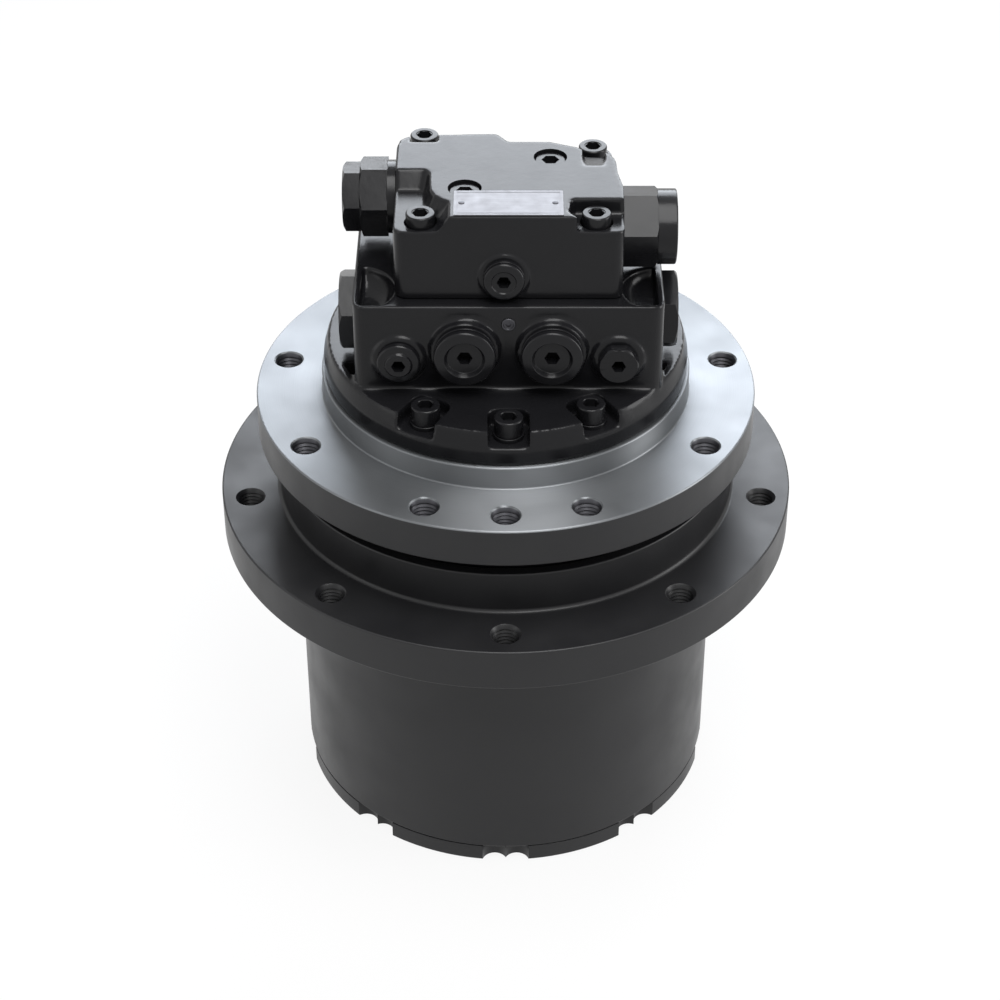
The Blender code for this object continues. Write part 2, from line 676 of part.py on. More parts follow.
def make_carriers():
    """The turning first carrier, and the second one, which is fixed to the spindle."""
    bore = outscribed(SUN_TWO_HUB_RADIUS, CORE_SIDES) + FACE_GAP
    carrier("carrier_one", CARRIER_ONE_LOW, CARRIER_ONE_HIGH, bore, STAGE_ONE_CENTRES, PIN_ONE_RADIUS,
            STAGE_ONE_LOW)
    carrier("carrier_two", CARRIER_TWO_LOW, CARRIER_TWO_HIGH, SHAFT_RADIUS + SHAFT_HOLE_CLEARANCE,
            STAGE_TWO_CENTRES, PIN_TWO_RADIUS, STAGE_TWO_LOW)


def make_hub_housing():
    """Drum, sprocket flange and neck in one, with the ring gear cut in the drum."""
    profile = [
        (0, DRUM_BOTTOM),
        (DRUM_RADIUS - EDGE_CHAMFER, DRUM_BOTTOM),
        (DRUM_RADIUS, DRUM_BOTTOM + EDGE_CHAMFER),
        (DRUM_RADIUS, SPROCKET_FLANGE_LOW),
        (SPROCKET_FLANGE_RADIUS, SPROCKET_FLANGE_LOW),
        (SPROCKET_FLANGE_RADIUS, SPROCKET_FLANGE_HIGH - EDGE_CHAMFER),
        (SPROCKET_FLANGE_RADIUS - EDGE_CHAMFER, SPROCKET_FLANGE_HIGH),
        (NECK_RADIUS, SPROCKET_FLANGE_HIGH),
        (NECK_RADIUS, NECK_TOP),
        (0, NECK_TOP),
    ]
    hub = make_object("hub_housing", turned(profile, RIM_SIDES), "satin_black")
    holes = []
    for angle, x, y in around(SPROCKET_HOLE_CIRCLE_RADIUS, SPROCKET_HOLES, -math.pi / 2):
        low = SPROCKET_FLANGE_LOW - CUT_OVERRUN
        hole = rod(SPROCKET_HOLE_RADIUS, low, SPROCKET_FLANGE_HIGH + CUT_OVERRUN)
        holes.append(moved(hole, (x, y, 0)))
    cut(hub, gathered(holes), "sprocket_holes")

    ring_low = STAGE_ONE_LOW - PLATE_CLEARANCE / 2
    ring_high = STAGE_TWO_HIGH + PLATE_CLEARANCE / 2
    guide = RING_TIP - RELIEF_DEPTH
    lip_low = NUT_HIGH - BEARING_LIP_HEIGHT
    bore = [
        (0, DRUM_BOTTOM - CUT_OVERRUN),
        (SPIGOT_BORE, DRUM_BOTTOM - CUT_OVERRUN),
        (SPIGOT_BORE, ring_low),
        (guide, ring_low),
        (guide, ring_high),
        (SPIGOT_BORE, ring_high),
        (SPIGOT_BORE, lip_low),
        (BEARING_LIP_RADIUS, lip_low),
        (BEARING_LIP_RADIUS, NUT_HIGH),
        (BEARING_BORE, NUT_HIGH),
        (BEARING_BORE, LOWER_SEAL_FLOOR),
        (SKIRT_INNER, LOWER_SEAL_FLOOR),
        (SKIRT_INNER, SEAL_FACE - FACE_GAP),
        (NECK_BORE, SEAL_FACE - FACE_GAP),
        (NECK_BORE, NECK_TOP + CUT_OVERRUN),
        (0, NECK_TOP + CUT_OVERRUN),
    ]
    cut(hub, turned(bore, CORE_SIDES), "bore")
    runout = PLATE_CLEARANCE / 4
    teeth = gear_outline(RING_TEETH, 0, inner=True)
    cut(hub, prism([teeth], ring_low - runout, ring_high + runout), "ring_gear")


def scalloped_outline():
    """The end cover's rim: a circle with a pair of scallops at each sprocket hole's direction."""
    centre = DRUM_RADIUS - SCALLOP_DEPTH + SCALLOP_RADIUS
    spread = SCALLOP_SPACING / 2 / centre
    crossing = math.asin(SCALLOP_SPACING / 2 / SCALLOP_RADIUS)
    rim = math.acos(
        (centre ** 2 + SCALLOP_RADIUS ** 2 - DRUM_RADIUS ** 2) / (2 * centre * SCALLOP_RADIUS)
    )
    flank = []
    for step in range(SCALLOP_STEPS + 1):
        swing = (crossing + rim) * step / SCALLOP_STEPS - crossing
        along = centre - SCALLOP_RADIUS * math.cos(swing)
        across = SCALLOP_RADIUS * math.sin(swing)
        angle = max(spread + math.atan2(across, along), 0)
        flank.append((math.hypot(along, across), angle))
    pitch = math.tau / SPROCKET_HOLES
    land = pitch - 2 * flank[-1][1]
    for share in RIM_LAND_SHARES:
        flank.append((DRUM_RADIUS, flank[SCALLOP_STEPS][1] + share * land))
    points = []
    for number in range(SPROCKET_HOLES):
        middle = pitch * number - math.pi / 2
        for radius, angle in reversed(flank[1:SCALLOP_STEPS + 1]):
            points.append((radius * math.cos(middle - angle), radius * math.sin(middle - angle)))
        for radius, angle in flank:
            points.append((radius * math.cos(middle + angle), radius * math.sin(middle + angle)))
    return points


def make_end_cover():
    """The cover under the gear train, with pairs of scallops in its rim and two oil plugs."""
    cover = make_object("end_cover", prism([scalloped_outline()], 0, END_COVER_THICKNESS), "satin_black")
    spigot = rod(SPIGOT_BORE - FACE_GAP, END_COVER_THICKNESS - CUT_OVERRUN, SPIGOT_TOP, CORE_SIDES)
    fuse(cover, spigot, "spigot")

    holes = []
    seat = COVER_PLUG_RECESS + SMALL_PLUG_LENGTH
    places = around(COVER_PLUG_PLACE_RADIUS, COVER_PLUG_COUNT, math.pi / 2)
    for number, (angle, x, y) in enumerate(places):
        head = rod(COVER_PLUG_RADIUS + FACE_GAP, -CUT_OVERRUN, seat + FACE_GAP, PLUG_SIDES)
        holes.append(moved(head, (x, y, 0)))
        name = "cover_plug_%d" % (number + 1)
        plug = socket_plug(name, COVER_PLUG_RADIUS, SMALL_PLUG_LENGTH, 0, 0, SMALL_SOCKET_RADIUS)
        place(plug, (x, y, seat), "down")
    cut(cover, gathered(holes), "plug_holes")


def make_main_bearings():
    """Two ball bearings side by side.

    Their inner races sit on the spindle, their outer races in the hub, and their balls in cages.
    """
    for name, low in (("lower", LOWER_BEARING_LOW), ("upper", UPPER_BEARING_LOW)):
        high = low + BEARING_WIDTH
        inner = tube(INNER_RACE_OUTER, INNER_RACE_BORE, low, high, CORE_SIDES)
        make_object("bearing_inner_" + name, inner, "bare_steel")
        outer = tube(OUTER_RACE_OUTER, OUTER_RACE_BORE, low, high, CORE_SIDES)
        make_object("bearing_outer_" + name, outer, "bare_steel")
        make_object("ball_row_" + name, ball_row((low + high) / 2), "bare_steel")


def ball_row(height):
    """A cage with its balls: a ring that swells to each ball and narrows to the cage between them."""
    mesh = bmesh.new()
    sections = []
    steps = 2 * BALLS_PER_ROW
    for step in range(steps):
        angle = math.tau * step / steps
        size = BALL_RADIUS * (CAGE_SHARE if step % 2 else 1)
        section = []
        for x, z in circle_points(size, SECTION_SIDES, (BALL_CIRCLE, height)):
            section.append(mesh.verts.new((x * math.cos(angle), x * math.sin(angle), z)))
        sections.append(section)
    for step in range(steps):
        here = sections[step]
        there = sections[(step + 1) % steps]
        for side in range(SECTION_SIDES):
            after = (side + 1) % SECTION_SIDES
            mesh.faces.new((here[side], here[after], there[after], there[side]))
    bmesh.ops.recalc_face_normals(mesh, faces=mesh.faces)
    return mesh


def make_bearing_nut():
    """The slotted nut that holds the inner races against the spindle's shoulder."""
    outer = BEARING_SEAT_RADIUS - SHOULDER_HEIGHT / 2 + NUT_WALL
    floor = outer - NUT_SLOT_DEPTH
    corners = [
        (0, outer),
        (NUT_LAND_SHARE, outer),
        (NUT_LAND_SHARE + NUT_FLANK_SHARE, floor),
        (1 - NUT_FLANK_SHARE, floor),
    ]
    outline = []
    for slot in range(NUT_SLOTS):
        for share, radius in corners:
            angle = math.tau * (slot + share) / NUT_SLOTS
            outline.append((radius * math.cos(angle), radius * math.sin(angle)))
    bore = circle_points(BEARING_SEAT_RADIUS - SHOULDER_HEIGHT / 2 + FACE_GAP, CORE_SIDES)
    make_object("bearing_nut", prism([outline, bore], SPINDLE_BOTTOM, NUT_HIGH), "dark_steel")


def seal_ring(face, away):
    """One metal ring of the floating seal.

    It has a sealing lip at the face and a thinner tail that carries the rubber ring.
    """
    outer = SKIRT_INNER - 2 * TORIC_RADIUS - FACE_GAP
    inner = outer - SEAL_RING_WALL - SEAL_RING_LIP
    lip = outer + SEAL_RING_LIP
    lip_end = face + away * SEAL_RING_LIP
    slope_end = lip_end + away * SEAL_RING_LIP
    tail = face + away * SEAL_RING_HEIGHT
    profile = [(inner, face), (lip, face), (lip, lip_end), (outer, slope_end), (outer, tail), (inner, tail)]
    return turned(profile, CORE_SIDES)


def make_floating_seal():
    """Two metal rings face to face, each on a rubber ring in its housing."""
    for name, face, away in (("lower", SEAL_FACE, -1), ("upper", SEAL_FACE + FACE_GAP, 1)):
        make_object("seal_ring_" + name, seal_ring(face, away), "bare_steel")
        middle = face + away * (SEAL_RING_HEIGHT - TORIC_RADIUS)
        centre = SKIRT_INNER - TORIC_RADIUS
        section = circle_points(TORIC_RADIUS - FACE_GAP, SECTION_SIDES, (centre, middle))
        make_object("seal_rubber_" + name, turned(section, CORE_SIDES), "rubber")


def make_spindle():
    """Frame flange with its pilot, and the hollow spindle below it that the hub turns on."""
    core = [
        (0, SPINDLE_BOTTOM),
        (BEARING_SEAT_RADIUS - SHOULDER_HEIGHT / 2, SPINDLE_BOTTOM),
        (BEARING_SEAT_RADIUS - SHOULDER_HEIGHT / 2, NUT_HIGH),
        (BEARING_SEAT_RADIUS, NUT_HIGH),
        (BEARING_SEAT_RADIUS, SPINDLE_SHOULDER),
        (BEARING_SEAT_RADIUS + SHOULDER_HEIGHT, SPINDLE_SHOULDER),
        (SEAL_CORE_RADIUS, SPINDLE_SHOULDER + SHOULDER_HEIGHT),
        (SEAL_CORE_RADIUS, UPPER_SEAL_FLOOR),
        (SKIRT_INNER, UPPER_SEAL_FLOOR),
        (SKIRT_INNER, SKIRT_BOTTOM),
        (SKIRT_OUTER, SKIRT_BOTTOM),
        (SKIRT_OUTER, FRAME_FLANGE_LOW + CUT_OVERRUN),
        (0, FRAME_FLANGE_LOW + CUT_OVERRUN),
    ]
    spindle = make_object("frame_spindle", turned(core, CORE_SIDES), "bare_steel")
    flange = [
        (0, FRAME_FLANGE_LOW),
        (FRAME_FLANGE_RADIUS - EDGE_CHAMFER, FRAME_FLANGE_LOW),
        (FRAME_FLANGE_RADIUS, FRAME_FLANGE_LOW + EDGE_CHAMFER),
        (FRAME_FLANGE_RADIUS, FRAME_FLANGE_HIGH - EDGE_CHAMFER),
        (FRAME_FLANGE_RADIUS - EDGE_CHAMFER, FRAME_FLANGE_HIGH),
        (PILOT_RADIUS, FRAME_FLANGE_HIGH),
        (PILOT_RADIUS, PILOT_TOP),
        (0, PILOT_TOP),
    ]
    fuse(spindle, turned(flange, RIM_SIDES), "flange")
    shaft_hole = SHAFT_RADIUS + SHAFT_HOLE_CLEARANCE
    seal_bore = SHAFT_RADIUS + 2 * FACE_GAP + SHAFT_SEAL_WALL
    bearing_bore = SHAFT_RADIUS + 2 * FACE_GAP + SHAFT_BEARING_WALL
    hollow = [
        (0, SPINDLE_BOTTOM - CUT_OVERRUN),
        (shaft_hole, SPINDLE_BOTTOM - CUT_OVERRUN),
        (shaft_hole, SHAFT_SEAL_LOW - FACE_GAP),
        (seal_bore, SHAFT_SEAL_LOW - FACE_GAP),
        (seal_bore, SHAFT_BEARING_LOW - FACE_GAP / 2),
        (bearing_bore, SHAFT_BEARING_LOW - FACE_GAP / 2),
        (bearing_bore, CAVITY_FLOOR),
        (MOTOR_CAVITY_RADIUS, CAVITY_FLOOR),
        (MOTOR_CAVITY_RADIUS, BRAKE_FLOOR),
        (BRAKE_BORE_RADIUS, BRAKE_FLOOR),
        (BRAKE_BORE_RADIUS, PILOT_TOP + CUT_OVERRUN),
        (0, PILOT_TOP + CUT_OVERRUN),
    ]
    cut(spindle, turned(hollow, MOTOR_SIDES), "hollow")
    holes = []
    for degrees in FRAME_HOLE_DEGREES:
        angle = math.radians(degrees) - math.pi / 2
        x = FRAME_HOLE_CIRCLE_RADIUS * math.cos(angle)
        y = FRAME_HOLE_CIRCLE_RADIUS * math.sin(angle)
        low = FRAME_FLANGE_HIGH - FRAME_HOLE_DEPTH
        holes.append(moved(rod(FRAME_HOLE_RADIUS, low, FRAME_FLANGE_HIGH + CUT_OVERRUN), (x, y, 0)))
    for x, y in cover_screw_spots():
        holes.append(screw_hole(x, y, COVER_TOP - COVER_POCKET_DEPTH, SCREW_SHANK_LENGTH))
    cut(spindle, gathered(holes), "holes")


def make_shaft():
    """Motor shaft with the socket that takes the first sun's stem, its two bearings and its seal."""
    socket = outscribed(SUN_STEM_RADIUS + FACE_GAP, SMALL_SIDES)
    socket_top = SHAFT_BOTTOM + STEM_ENGAGEMENT + FACE_GAP
    profile = [
        (0, socket_top),
        (socket, socket_top),
        (socket, SHAFT_BOTTOM),
        (SHAFT_RADIUS, SHAFT_BOTTOM),
        (SHAFT_RADIUS, SHAFT_TOP),
        (0, SHAFT_TOP),
    ]
    make_object("motor_shaft", turned(profile, SMALL_SIDES), "bare_steel")
    bore = outscribed(SHAFT_RADIUS + FACE_GAP, MOTOR_SIDES)
    outer = SHAFT_RADIUS + FACE_GAP + SHAFT_BEARING_WALL
    for name, low in (("lower", SHAFT_BEARING_LOW), ("upper", UPPER_SHAFT_BEARING_LOW)):
        ring = tube(outer, bore, low, low + SHAFT_BEARING_WIDTH, MOTOR_SIDES)
        make_object("shaft_bearing_" + name, ring, "bare_steel")
    outer = SHAFT_RADIUS + FACE_GAP + SHAFT_SEAL_WALL
    ring = tube(outer, bore, SHAFT_SEAL_LOW, SHAFT_SEAL_LOW + SHAFT_SEAL_WIDTH, MOTOR_SIDES)
    make_object("shaft_seal", ring, "rubber")


def make_cylinder_block():
    """The motor's cylinder block with its pistons at mid stroke, each ending in a ball."""
    bore = outscribed(SHAFT_RADIUS + FACE_GAP, MOTOR_SIDES)
    body = tube(BLOCK_RADIUS, bore, BLOCK_LOW, BLOCK_HIGH, MOTOR_SIDES)
    block = make_object("cylinder_block", body, "gear_steel")
    neck_top = BLOCK_LOW - PISTON_NECK_RADIUS
    cap = PISTON_BALL_RADIUS * PISTON_BALL_CAP_SHARE
    profile = [
        (0, BALL_PLANE - PISTON_BALL_RADIUS),
        (cap, BALL_PLANE - cap),
        (PISTON_BALL_RADIUS, BALL_PLANE),
        (PISTON_NECK_RADIUS, BALL_PLANE + PISTON_NECK_RADIUS),
        (PISTON_NECK_RADIUS, neck_top),
        (PISTON_RADIUS, neck_top),
        (PISTON_RADIUS, BLOCK_LOW + CUT_OVERRUN),
        (0, BLOCK_LOW + CUT_OVERRUN),
    ]
    pistons = []
    for angle, x, y in around(PISTON_CIRCLE_RADIUS, PISTON_COUNT):
        pistons.append(moved(turned(profile, PISTON_SIDES), (x, y, 0)))
    fuse(block, gathered(pistons), "pistons")


def make_swash():
    """The tilted swash plate on the cavity's floor, and the shoes with their retainer that slide on it."""
    bore = SHAFT_RADIUS + SHAFT_HOLE_CLEARANCE
    mesh = tube(SWASH_RADIUS, bore, CAVITY_FLOOR + FACE_GAP, SWASH_CENTRE, MOTOR_SIDES)
    for vertex in mesh.verts:
        if vertex.co.z > SWASH_CENTRE - SWASH_THICKNESS / 2:
            vertex.co.z += vertex.co.y * math.tan(SWASH_TILT)
    make_object("swash_plate", mesh, "dark_steel")

    low = RETAINER_LIFT - SHOE_DROP
    ring = tube(RETAINER_RADIUS, bore, low, low + RETAINER_THICKNESS, MOTOR_SIDES)
    retainer = make_object("shoe_retainer", ring, "bronze")
    shoes = []
    cups = []
    cup_radius = outscribed(PISTON_BALL_RADIUS + SHOE_CLEARANCE, PISTON_SIDES)
    for angle, x, y in around(PISTON_CIRCLE_RADIUS, PISTON_COUNT):
        shoes.append(moved(rod(SHOE_RADIUS, -SHOE_DROP, BALL_RISE, PISTON_SIDES), (x, y, 0)))
        cups.append(moved(rod(cup_radius, -CUP_DEPTH, BALL_RISE + CUT_OVERRUN, PISTON_SIDES), (x, y, 0)))
    fuse(retainer, gathered(shoes), "shoes")
    cut(retainer, gathered(cups), "cups")
    retainer.location = (0, 0, BALL_PLANE)
    retainer.rotation_euler = (SWASH_TILT, 0, 0)


def make_valve_plate():
    """The valve plate between the block and the cover, with its two kidney ports."""
    shaft_hole = SHAFT_RADIUS + SHAFT_HOLE_CLEARANCE
    outlines = [circle_points(BLOCK_RADIUS, MOTOR_SIDES), circle_points(shaft_hole, MOTOR_SIDES)]
    half = VALVE_PORT_WIDTH / 2
    sweep = math.radians(PORT_SWEEP_DEG)
    for side in (0, math.pi):
        start = side + math.radians(PORT_START_DEG)
        outer = arc((0, 0), PISTON_CIRCLE_RADIUS + half, start, sweep, KIDNEY_STEPS)
        inner = arc((0, 0), PISTON_CIRCLE_RADIUS - half, start + sweep, -sweep, KIDNEY_STEPS)
        outlines.append(outer + inner)
    mesh = prism(outlines, VALVE_PLATE_LOW, VALVE_PLATE_LOW + VALVE_PLATE_THICKNESS)
    make_object("valve_plate", mesh, "bronze")


def make_brake():
    """Parking brake: friction disc on the block, separator plate, ring piston and disc spring."""
    top = FRICTION_LOW + BRAKE_DISC_THICKNESS
    disc = tube(BRAKE_DISC_RADIUS, BLOCK_RADIUS + FACE_GAP, FRICTION_LOW, top, MOTOR_SIDES)
    make_object("brake_friction_disc", disc, "friction")
    outer = BRAKE_BORE_RADIUS - FACE_GAP
    top = SEPARATOR_LOW + BRAKE_DISC_THICKNESS
    plate = tube(outer, SEPARATOR_BORE_RADIUS, SEPARATOR_LOW, top, MOTOR_SIDES)
    make_object("brake_separator_plate", plate, "bare_steel")
    piston_bore = outer - BRAKE_PISTON_WALL
    top = BRAKE_PISTON_LOW + BRAKE_PISTON_HEIGHT
    ring = tube(outer, piston_bore, BRAKE_PISTON_LOW, top, MOTOR_SIDES)
    make_object("brake_piston", ring, "gear_steel")
    top = SPRING_LOW + BRAKE_SPRING_HEIGHT
    section = [
        (piston_bore, SPRING_LOW),
        (outer, top - BRAKE_SPRING_PLATE),
        (outer, top),
        (piston_bore, SPRING_LOW + BRAKE_SPRING_PLATE),
    ]
    make_object("brake_disc_spring", turned(section, MOTOR_SIDES), "dark_steel")


def cover_screw_spots():
    """Places of the motor cover's screws in front of the port block."""
    spots = []
    for degrees in COVER_SCREW_DEGREES:
        angle = math.radians(degrees + COVER_SCREW_CLOCK_DEG) - math.pi / 2
        x = COVER_SCREW_CIRCLE_RADIUS * math.cos(angle)
        y = COVER_SCREW_CIRCLE_RADIUS * math.sin(angle)
        spots.append((x, y))
    return spots


def block_outline(left, right, front, rear, corner):
    """A rectangle with cut corners."""
    return [
        (left + corner, front),
        (right - corner, front),
        (right, front + corner),
        (right, rear - corner),
        (right - corner, rear),
        (left + corner, rear),
        (left, rear - corner),
        (left, front + corner),
    ]


def port_spots():
    """Name, x, height, boss and plug sizes of each port in the port block's front face."""
    large = (
        LARGE_BOSS_RADIUS, LARGE_BOSS_LENGTH, LARGE_PLUG_RADIUS, LARGE_PLUG_LENGTH, LARGE_SOCKET_RADIUS,
    )
    small = (
        SMALL_BOSS_RADIUS, SMALL_BOSS_LENGTH, SMALL_PLUG_RADIUS, SMALL_PLUG_LENGTH, SMALL_SOCKET_RADIUS,
    )
    spots = []
    for name, side in (("left", -1), ("right", 1)):
        x = CASTING_OFFSET + side * LARGE_PORT_SPACING / 2
        spots.append(("port_plug_" + name, x, COVER_TOP + LARGE_PORT_HEIGHT, large))
        x = CASTING_OFFSET + side * SMALL_PORT_SPACING / 2
        spots.append(("pilot_plug_" + name, x, COVER_TOP + SMALL_PORT_HEIGHT, small))
    return spots


def thread_radius(plug_radius):
    """Radius of the thread behind a plug's flange."""
    return plug_radius * PLUG_THREAD_SHARE


def socket_plug(name, flange_radius, flange_length, stub_radius, stub_length, socket_radius):
    """A plug with a hexagon socket, its flange's seat at the origin and its outer face up."""
    profile = [(0, -stub_length)]
    if stub_length > 0:
        profile += [(stub_radius, -stub_length), (stub_radius, 0)]
    profile += [
        (flange_radius, 0),
        (flange_radius, flange_length - PLUG_CHAMFER),
        (flange_radius - PLUG_CHAMFER, flange_length),
        (0, flange_length),
    ]
    plug = make_object(name, turned(profile, PLUG_SIDES), "gloss_black")
    socket = rod(socket_radius, flange_length / 2, flange_length + CUT_OVERRUN, HEXAGON_SIDES)
    cut(plug, socket, "socket")
    return plug


def cap_screw(name, length, washer):
    """A cap screw, its seat at the origin and its head up."""
    seat = SCREW_WASHER_THICKNESS if washer else 0
    top = seat + SCREW_HEAD_HEIGHT
    profile = [(0, -length), (SCREW_SHANK_RADIUS, -length), (SCREW_SHANK_RADIUS, 0)]
    if washer:
        profile += [(SCREW_WASHER_RADIUS, 0), (SCREW_WASHER_RADIUS, seat)]
    profile += [(SCREW_HEAD_RADIUS, seat), (SCREW_HEAD_RADIUS, top), (0, top)]
    return make_object(name, turned(profile, SMALL_SIDES), "gloss_black")


def screw_hole(x, y, seat, length):
    """The clearance hole for one cap screw's shank, below its seat."""
    low = seat - length - CUT_OVERRUN
    radius = outscribed(SCREW_SHANK_RADIUS + FACE_GAP, HOLE_SIDES)
    return moved(rod(radius, low, seat + CUT_OVERRUN, HOLE_SIDES), (x, y, 0))


def make_motor_cover():
    """The cover casting: a round base that closes the motor, with the port block on it."""
    spigot = BRAKE_BORE_RADIUS * math.cos(math.pi / MOTOR_SIDES) - FACE_GAP
    profile = [
        (0, COVER_SPIGOT_LOW),
        (spigot, COVER_SPIGOT_LOW),
        (spigot, COVER_LOW),
        (COVER_RADIUS, COVER_LOW),
        (COVER_RADIUS, COVER_LOW + COVER_LIP_HEIGHT),
        (COVER_TOP_RADIUS, COVER_TOP),
        (0, COVER_TOP),
    ]
    cover = make_object("motor_cover", turned(profile, RIM_SIDES), "gloss_black")
    cut(cover, gathered(side_pockets()), "side_pockets")
    outline = block_outline(BLOCK_LEFT, BLOCK_RIGHT, -PORT_BLOCK_FRONT, PORT_BLOCK_REAR, PORT_BLOCK_CORNER)
    fuse(cover, prism([outline], COVER_TOP - COVER_LIP_HEIGHT, PORT_BLOCK_TOP), "port_block")

    bosses = []
    bores = []
    for name, x, height, sizes in port_spots():
        boss_radius, boss_length, plug_radius, plug_length, socket_radius = sizes
        boss = rod(boss_radius, -CUT_OVERRUN, boss_length, PLUG_SIDES)
        bosses.append(moved(boss, (x, -PORT_BLOCK_FRONT, height), FACING["front"]))
        bore_radius = outscribed(thread_radius(plug_radius) + FACE_GAP, HOLE_SIDES)
        bore = rod(bore_radius, -PLUG_THREAD_LENGTH - CUT_OVERRUN, boss_length + CUT_OVERRUN, HOLE_SIDES)
        bores.append(moved(bore, (x, -PORT_BLOCK_FRONT, height), FACING["front"]))
        thread = thread_radius(plug_radius)
        plug = socket_plug(name, plug_radius, plug_length, thread, PLUG_THREAD_LENGTH, socket_radius)
        place(plug, (x, -PORT_BLOCK_FRONT - boss_length - FACE_GAP, height), "front")
    fuse(cover, gathered(bosses), "port_bosses")

    bore_radius = outscribed(RELIEF_STUB_RADIUS + FACE_GAP, HOLE_SIDES)
    for facing, x in (("left", BLOCK_LEFT), ("right", BLOCK_RIGHT)):
        bore = rod(bore_radius, -RELIEF_STUB_LENGTH - CUT_OVERRUN, CUT_OVERRUN, HOLE_SIDES)
        bores.append(moved(bore, (x, RELIEF_PLACE_Y, RELIEF_PLACE_Z), FACING[facing]))
    bearing_bore = SHAFT_RADIUS + 2 * FACE_GAP + SHAFT_BEARING_WALL
    low = COVER_SPIGOT_LOW - CUT_OVERRUN
    bores.append(rod(bearing_bore, low, SHAFT_TOP + PLATE_CLEARANCE, MOTOR_SIDES))
    orifice = rod(ORIFICE_RADIUS, -PLUG_THREAD_LENGTH, CUT_OVERRUN, HOLE_SIDES)
    spot = (CASTING_OFFSET, -PORT_BLOCK_FRONT, PORT_BLOCK_TOP - ORIFICE_HEIGHT)
    bores.append(moved(orifice, spot, FACING["front"]))
    cut(cover, gathered(cover_screw_pockets() + shoulder_pockets()), "pockets")
    cut(cover, gathered(bores), "bores")
    holes = []
    for x, y in cover_screw_spots():
        holes.append(screw_hole(x, y, COVER_TOP - COVER_POCKET_DEPTH, SCREW_SHANK_LENGTH))
    seat = VALVE_BLOCK_TOP - CORNER_LEDGE_DEPTH - SPOTFACE_DEPTH
    for x, y in valve_screw_spots():
        holes.append(screw_hole(x, y, seat, VALVE_SCREW_LENGTH))
    cut(cover, gathered(holes), "screw_holes")


def side_pockets():
    """The low places beside the port block, with the cover's rim left standing around them."""
    reach = COVER_TOP_RADIUS - SIDE_POCKET_WALL
    middle = (SIDE_POCKET_FRONT + SIDE_POCKET_REAR) / 2
    rim = []
    for depth in (SIDE_POCKET_FRONT, middle, SIDE_POCKET_REAR):
        rim.append((math.sqrt(reach ** 2 - depth ** 2), -depth))
    under_block = rim[0][0] - SIDE_POCKET_OVERLAP
    corners = [(under_block, -SIDE_POCKET_REAR), (under_block, -SIDE_POCKET_FRONT)] + rim
    pockets = []
    for side in (-1, 1):
        outline = [(side * x, y) for x, y in corners]
        pockets.append(prism([outline], COVER_TOP - COVER_POCKET_DEPTH, COVER_TOP + CUT_OVERRUN))
    return pockets


def cover_screw_pockets():
    """Pockets open to the rim, in which the cover screws sit."""
    half = COVER_POCKET_WIDTH / 2
    rim = COVER_RADIUS - COVER_SCREW_CIRCLE_RADIUS + CUT_OVERRUN
    outline = [(rim, -half), (rim, half)] + arc((0, 0), half, math.pi / 2, math.pi, POCKET_STEPS)
    pockets = []
    for x, y in cover_screw_spots():
        pocket = prism([outline], COVER_TOP - COVER_POCKET_DEPTH, COVER_TOP + CUT_OVERRUN)
        pockets.append(moved(pocket, (x, y, 0), Matrix.Rotation(math.atan2(y, x), 4, "Z")))
    return pockets


def shoulder_pockets():
    """The rounded pockets in the port block's front shoulders, with a thin wall left around them."""
    floor = PORT_BLOCK_TOP - SHOULDER_POCKET_DEPTH
    front = -PORT_BLOCK_FRONT + SHOULDER_POCKET_WALL
    pockets = []
    for edge, side in ((BLOCK_LEFT, 1), (BLOCK_RIGHT, -1)):
        wall = edge + side * SHOULDER_POCKET_WALL
        outline = [(wall, front), (wall + side * SHOULDER_POCKET_RADIUS, front)]
        for reach, depth in arc((0, 0), SHOULDER_POCKET_RADIUS, 0, math.pi / 2, SHOULDER_STEPS):
            outline.append((wall + side * reach, front + SHOULDER_POCKET_SETBACK + depth))
        pockets.append(prism([outline], floor, PORT_BLOCK_TOP + CUT_OVERRUN))
    return pockets


def make_side_reliefs():
    """The two hexagonal relief valve heads in the port block's sides."""
    for facing, x, side in (("left", BLOCK_LEFT, -1), ("right", BLOCK_RIGHT, 1)):
        turn = math.radians(RELIEF_TURN_DEG * side)
        hexagon = circle_points(RELIEF_HEX_RADIUS, HEXAGON_SIDES, turn=turn)
        head = prism([hexagon], FACE_GAP, RELIEF_HEX_LENGTH)
        valve = make_object("relief_valve_" + facing, head, "gloss_black")
        fuse(valve, rod(RELIEF_STUB_RADIUS, -RELIEF_STUB_LENGTH, FACE_GAP + CUT_OVERRUN), "stub")
        place(valve, (x, RELIEF_PLACE_Y, RELIEF_PLACE_Z), facing)


def valve_screw_spots():
    """Places of the four screws that hold the valve block."""
    left = CASTING_OFFSET - VALVE_SCREW_SPREAD_X
    right = CASTING_OFFSET + VALVE_SCREW_SPREAD_X
    return [
        (left, -VALVE_SCREW_FRONT),
        (right, -VALVE_SCREW_FRONT),
        (left, VALVE_SCREW_REAR_LEFT),
        (right, VALVE_SCREW_REAR_RIGHT),
    ]


